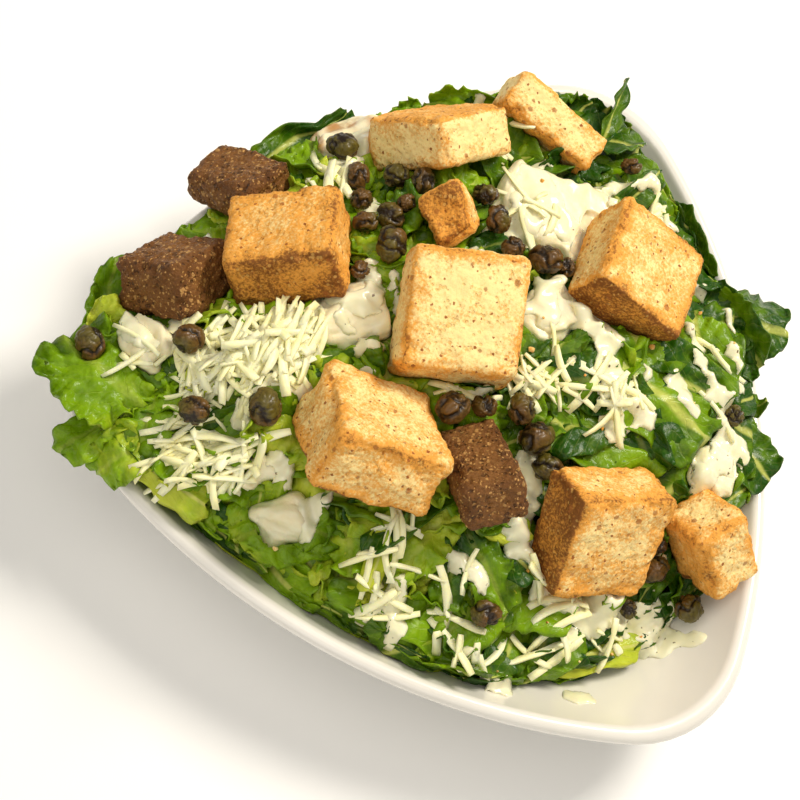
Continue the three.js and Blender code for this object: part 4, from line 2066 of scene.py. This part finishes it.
@dataclass(frozen=True)
class Dressing:
    """Creamy dressing that has run over the leaves and into the hollows between them.

    It is made on a square grid that reaches so many millimetres each way, in so many steps.
    """

    steps: int = 270
    reach: float = 98.0
    farthest_share: float = 0.91
    skin: float = 0.7
    spot_count: int = 70
    seed: int = 21
    streaks: tuple[Streak, ...] = (
        # x, y, to_x, to_y, width, depth
        Streak(20, -15, 24, -25, 7.5, 2.2),
        Streak(24, -25, 28, -38, 9.0, 2.4),
        Streak(28, -38, 36, -38, 8.0, 2.0),
        Streak(40, -43, 52, -41, 5.5, 2.2),
        Streak(52, -41, 60, -38, 5.5, 2.0),
        Streak(56, -36, 78, -31, 9.5, 1.6),
        Streak(70, -33, 84, -29, 6.5, 1.2),
        Streak(45, 38, 51, 30, 4.5, 2.0),
        Streak(51, 30, 61, 24, 4.0, 1.8),
        Streak(61, 24, 69, 13, 4.5, 2.0),
        Streak(69, 13, 66, 2, 7.5, 2.0),
        Streak(19, 27, 28, 13, 5.5, 2.0),
        Streak(28, 13, 38, 0, 7.0, 2.0),
        Streak(31, 8, 44, 7, 5.0, 1.8),
        Streak(58, 40, 64, 34, 4.5, 1.4),
        Streak(15, 22, 27, 20, 6.0, 2.0),
        Streak(-10, 54, -8, 38, 10.0, 1.4),
        Streak(-6, 46, 6, 44, 9.0, 1.4),
        Streak(4, 24, 8, 16, 6.0, 1.6),
        Streak(6, 64, 18, 73, 4.0, 1.6),
        Streak(18, 73, 24, 69, 4.0, 1.6),
        Streak(-38, 4, -32, -4, 5.0, 1.8),
        Streak(-42, -8, -34, -8, 6.0, 1.6),
        Streak(-92, -34, -78, -40, 5.0, 1.8),
        Streak(-75, -32, -72, -29, 5.0, 1.8),
        Streak(6, -65, 12, -71, 5.0, 1.8),
        Streak(18, -50, 24, -52, 5.0, 1.8),
        Streak(-23, -54, -20, -60, 5.0, 1.6),
        Streak(-36, -51, -32, -53, 4.5, 1.8),
        Streak(-72, 47, -58, 52, 7.0, 1.6),
        Streak(-50, 24, -44, 22, 5.0, 1.2),
        Streak(-26, -15, -30, -17, 4.0, 1.6),
        Streak(-60, 48, -56, 32, 9.0, 2.2),
        Streak(-54, 50, -47, 44, 8.0, 2.2),
        Streak(46, 22, 54, 16, 5.0, 1.4),
        Streak(-16, 22, -6, 24, 5.0, 1.4),
    )

    def spots(self) -> list[Streak]:
        """Scatters small spots and threads between the streaks.

        Returns:
            The spots, as short streaks.
        """
        chance = Random(self.seed)
        made = []
        for _ in range(self.spot_count):
            x, y = chance.uniform(-84, 78), chance.uniform(-70, 82)
            heading, length = chance.uniform(0, math.tau), chance.uniform(0.5, 9)
            width = chance.uniform(2.0, 5.0)
            run = level_way(heading) * length
            made.append(Streak(x, y, x + run.x, y + run.y, width, 1.2))
        return made

    def marks(self) -> np.ndarray:
        """Where the grid's lines stand on either axis."""
        return np.arange(self.steps + 1) * 2 * self.reach / self.steps - self.reach

    def amounts(self) -> tuple[np.ndarray, np.ndarray]:
        """How surely and how deep the dressing lies at each point of the grid.

        Returns:
            A share, positive inside the dressing and 1 well inside it, and a depth in millimetres.
        """
        marks = self.marks()
        xs, ys = np.meshgrid(marks, marks, indexing="ij")
        wobble = np.zeros_like(xs)
        for i, x in enumerate(marks):
            for j, y in enumerate(marks):
                here = Vector((x, y, 0))
                wobble[i, j] = 0.65 * rough(here, 5.5, 3) + 0.45 * rough(here, 2.4, 4)
        best = np.full_like(xs, -1.0)
        depth = np.zeros_like(xs)
        for streak in list(self.streaks) + self.spots():
            run_x, run_y = streak.to_x - streak.x, streak.to_y - streak.y
            along = ((xs - streak.x) * run_x + (ys - streak.y) * run_y) / max(run_x**2 + run_y**2, 0.01)
            along = np.clip(along, 0, 1)
            away = np.hypot(xs - streak.x - run_x * along, ys - streak.y - run_y * along)
            inside = 1 - away / (streak.width * 0.72) + wobble
            inside = np.where(away > streak.width * 1.5, -1.0, inside)
            depth = np.where(inside > best, streak.depth, depth)
            best = np.maximum(best, inside)
        return np.clip(best, -1, 1), depth

    def outside(self) -> np.ndarray:
        """Where the grid lies over the dish's lip or past it."""
        marks = self.marks()
        return np.array([[DISH.share(x, y) > self.farthest_share for y in marks] for x in marks])

    def build(self, ground: Ground) -> bpy.types.Object:
        """Makes the dressing as one skin with rounded edges.

        Args:
            ground: what it has run over, and what it becomes part of.

        Returns:
            The dressing.
        """
        bm = bmesh.new()
        bmesh.ops.create_grid(bm, x_segments=self.steps, y_segments=self.steps, size=self.reach)
        share, depth = self.amounts()
        share[self.outside()] = -1
        per_mm = self.steps / 2 / self.reach
        spot = {v: tuple(round((c + self.reach) * per_mm) for c in v.co.xy) for v in bm.verts}
        bmesh.ops.delete(bm, geom=[v for v in bm.verts if share[spot[v]] <= 0], context="VERTS")
        bmesh.ops.delete(bm, geom=[v for v in bm.verts if not v.link_faces], context="VERTS")
        base = {}
        for vert in bm.verts:
            hit = ground.top(vert.co.x, vert.co.y)
            base[vert] = 0.0 if hit is None else hit
            vert.co.z = base[vert]
        self.levelled(bm)
        for vert in bm.verts:
            inside = smoothstep(0, 0.6, share[spot[vert]])
            lump = 1 + 0.9 * rough(vert.co, 4.0, 6) + 0.5 * rough(vert.co, 1.9, 7)
            crest = max(base[vert] + 0.2, vert.co.z) + depth[spot[vert]] * 0.6 * lump
            vert.co.z = lerp(base[vert] - 0.6, crest, inside)
        smoothed(bm, 0.5, rounds=2)
        thicken(bm, self.skin)
        ground.add(bm)
        return finished_piece(bm, "dressing", DressingFinish().material(), "chicken")

    @staticmethod
    def levelled(bm: BMesh) -> None:
        """Lets the dressing bridge the narrow gaps under it: heights flow towards their neighbours'.

        Args:
            bm: the dressing's sheet.
        """
        for _ in range(4):
            level = {}
            for vert in bm.verts:
                around = [edge.other_vert(vert).co.z for edge in vert.link_edges]
                mean = sum(around) / len(around)
                level[vert] = max(mean, lerp(vert.co.z, mean, 0.4))
            for vert, z in level.items():
                vert.co.z = z


# ---- Light and camera ---------------------------------------------------------------------------


@dataclass(frozen=True)
class Lamp:
    """A square area light that faces the salad: metres and watts."""

    name: str
    place: tuple[float, float, float]
    size: float
    power: float
    colour: Colour = (1.0, 0.93, 0.82)

    def build(self) -> bpy.types.Object:
        """Makes the light.

        Returns:
            The light.
        """
        data = bpy.data.lights.new(self.name, "AREA")
        data.size = self.size
        data.energy = self.power
        data.color = self.colour
        lamp = placed(self.name, data)
        lamp.location = self.place
        lamp.rotation_mode = "QUATERNION"
        lamp.rotation_quaternion = Vector(self.place).to_track_quat("Z", "Y")
        return lamp


@dataclass(frozen=True)
class Studio:
    """A pale floor, soft light and the camera.

    Angles are in degrees, the camera's lengths in millimetres, and the floor's reach in metres.
    """

    azimuth: float = -1.3
    elevation: float = 65.0
    distance: float = 518.1
    roll: float = 29.4
    target: tuple[float, float, float] = (-14.8, 3.4, 0)
    field: float = 25.0
    lamps: tuple[Lamp, ...] = (
        Lamp("key", (0.30, 0.50, 0.82), size=0.33, power=9.4),
        Lamp("top", (-0.2, -0.1, 0.95), size=0.6, power=2.0),
        Lamp("front", (-0.1, -0.8, 0.55), size=0.8, power=2.2, colour=(1.0, 0.95, 0.86)),
    )
    sky: Colour = (1.0, 0.97, 0.93)
    sky_strength: float = 0.33
    floor_reach: float = 3.0

    def camera(self) -> bpy.types.Object:
        """Makes the camera and sets it as the scene's.

        Returns:
            The camera.
        """
        azimuth, elevation = math.radians(self.azimuth), math.radians(self.elevation)
        level = math.cos(elevation)
        back = Vector((math.sin(azimuth) * level, -math.cos(azimuth) * level, math.sin(elevation)))
        right = Vector((math.cos(azimuth), math.sin(azimuth), 0))
        up = back.cross(right)
        facing = Matrix((right, up, back)).transposed() @ Matrix.Rotation(math.radians(self.roll), 3, "Z")
        data = bpy.data.cameras.new("camera")
        data.angle = math.radians(self.field)
        data.clip_start = 0.01
        camera = placed("camera", data)
        camera.rotation_mode = "QUATERNION"
        camera.rotation_quaternion = facing.to_quaternion()
        camera.location = (Vector(self.target) + DISH.shift + back * self.distance) * MM
        bpy.context.scene.camera = camera
        return camera

    def build(self) -> None:
        """Makes the camera, the lights, the world and the floor."""
        self.camera()
        for lamp in self.lamps:
            lamp.build()
        world = bpy.data.worlds.new("studio")
        world.use_nodes = True
        background = world.node_tree.nodes["Background"]
        background.inputs["Color"].default_value = (*self.sky, 1)
        background.inputs["Strength"].default_value = self.sky_strength
        bpy.context.scene.world = world
        bpy.context.scene.view_settings.view_transform = "Standard"
        self.floor()

    def floor(self) -> bpy.types.Object:
        """Makes a large, pale, matt floor.

        Returns:
            The floor.
        """
        bm = bmesh.new()
        bmesh.ops.create_grid(bm, x_segments=1, y_segments=1, size=self.floor_reach)
        mesh = mesh_of(bm, "floor")
        surface = Surface("pale_floor", roughness=0.9, specular=0.1)
        material, nodes, shader = surface.start()
        place = nodes.place()
        tint = nodes.mix(nodes.noise(place, 3.0), (0.93, 0.93, 0.92), (0.95, 0.95, 0.94))
        surface.connect(nodes, shader, tint)
        mesh.materials.append(material)
        floor = placed("floor", mesh)
        return floor


# ---- The whole ----------------------------------------------------------------------------------


def main() -> None:
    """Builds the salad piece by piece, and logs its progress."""
    logging.basicConfig(level=logging.INFO, format="%(message)s")
    noise.seed_set(NOISE_SEED)
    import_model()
    Studio().build()
    dish_ground = Ground()
    Dish().build(dish_ground)
    LOG.info("dish made")
    toppings = Ground()
    LOG.info("croutons made: %d", len(Croutons().build(toppings)))
    Capers().build(toppings)
    LOG.info("capers made")
    meat = Ground()
    LOG.info("chicken made: %d", len(Chicken().build(meat)))
    pressing = Ground()
    pressing.trees = toppings.trees + meat.trees
    heap = HeapSurface(HEAP, pressing)
    ground = Ground()
    leaves = Romaine().build(heap, pressing, ground)
    LOG.info("romaine made: %d", len(leaves))
    ground.trees += dish_ground.trees + meat.trees
    Dressing().build(ground)
    LOG.info("dressing made")
    Cheese().build(ground, toppings)
    LOG.info("cheese made")
    Crumbs().build(ground, toppings)
    LOG.info("crumbs made")


if __name__ == "__main__":
    main()
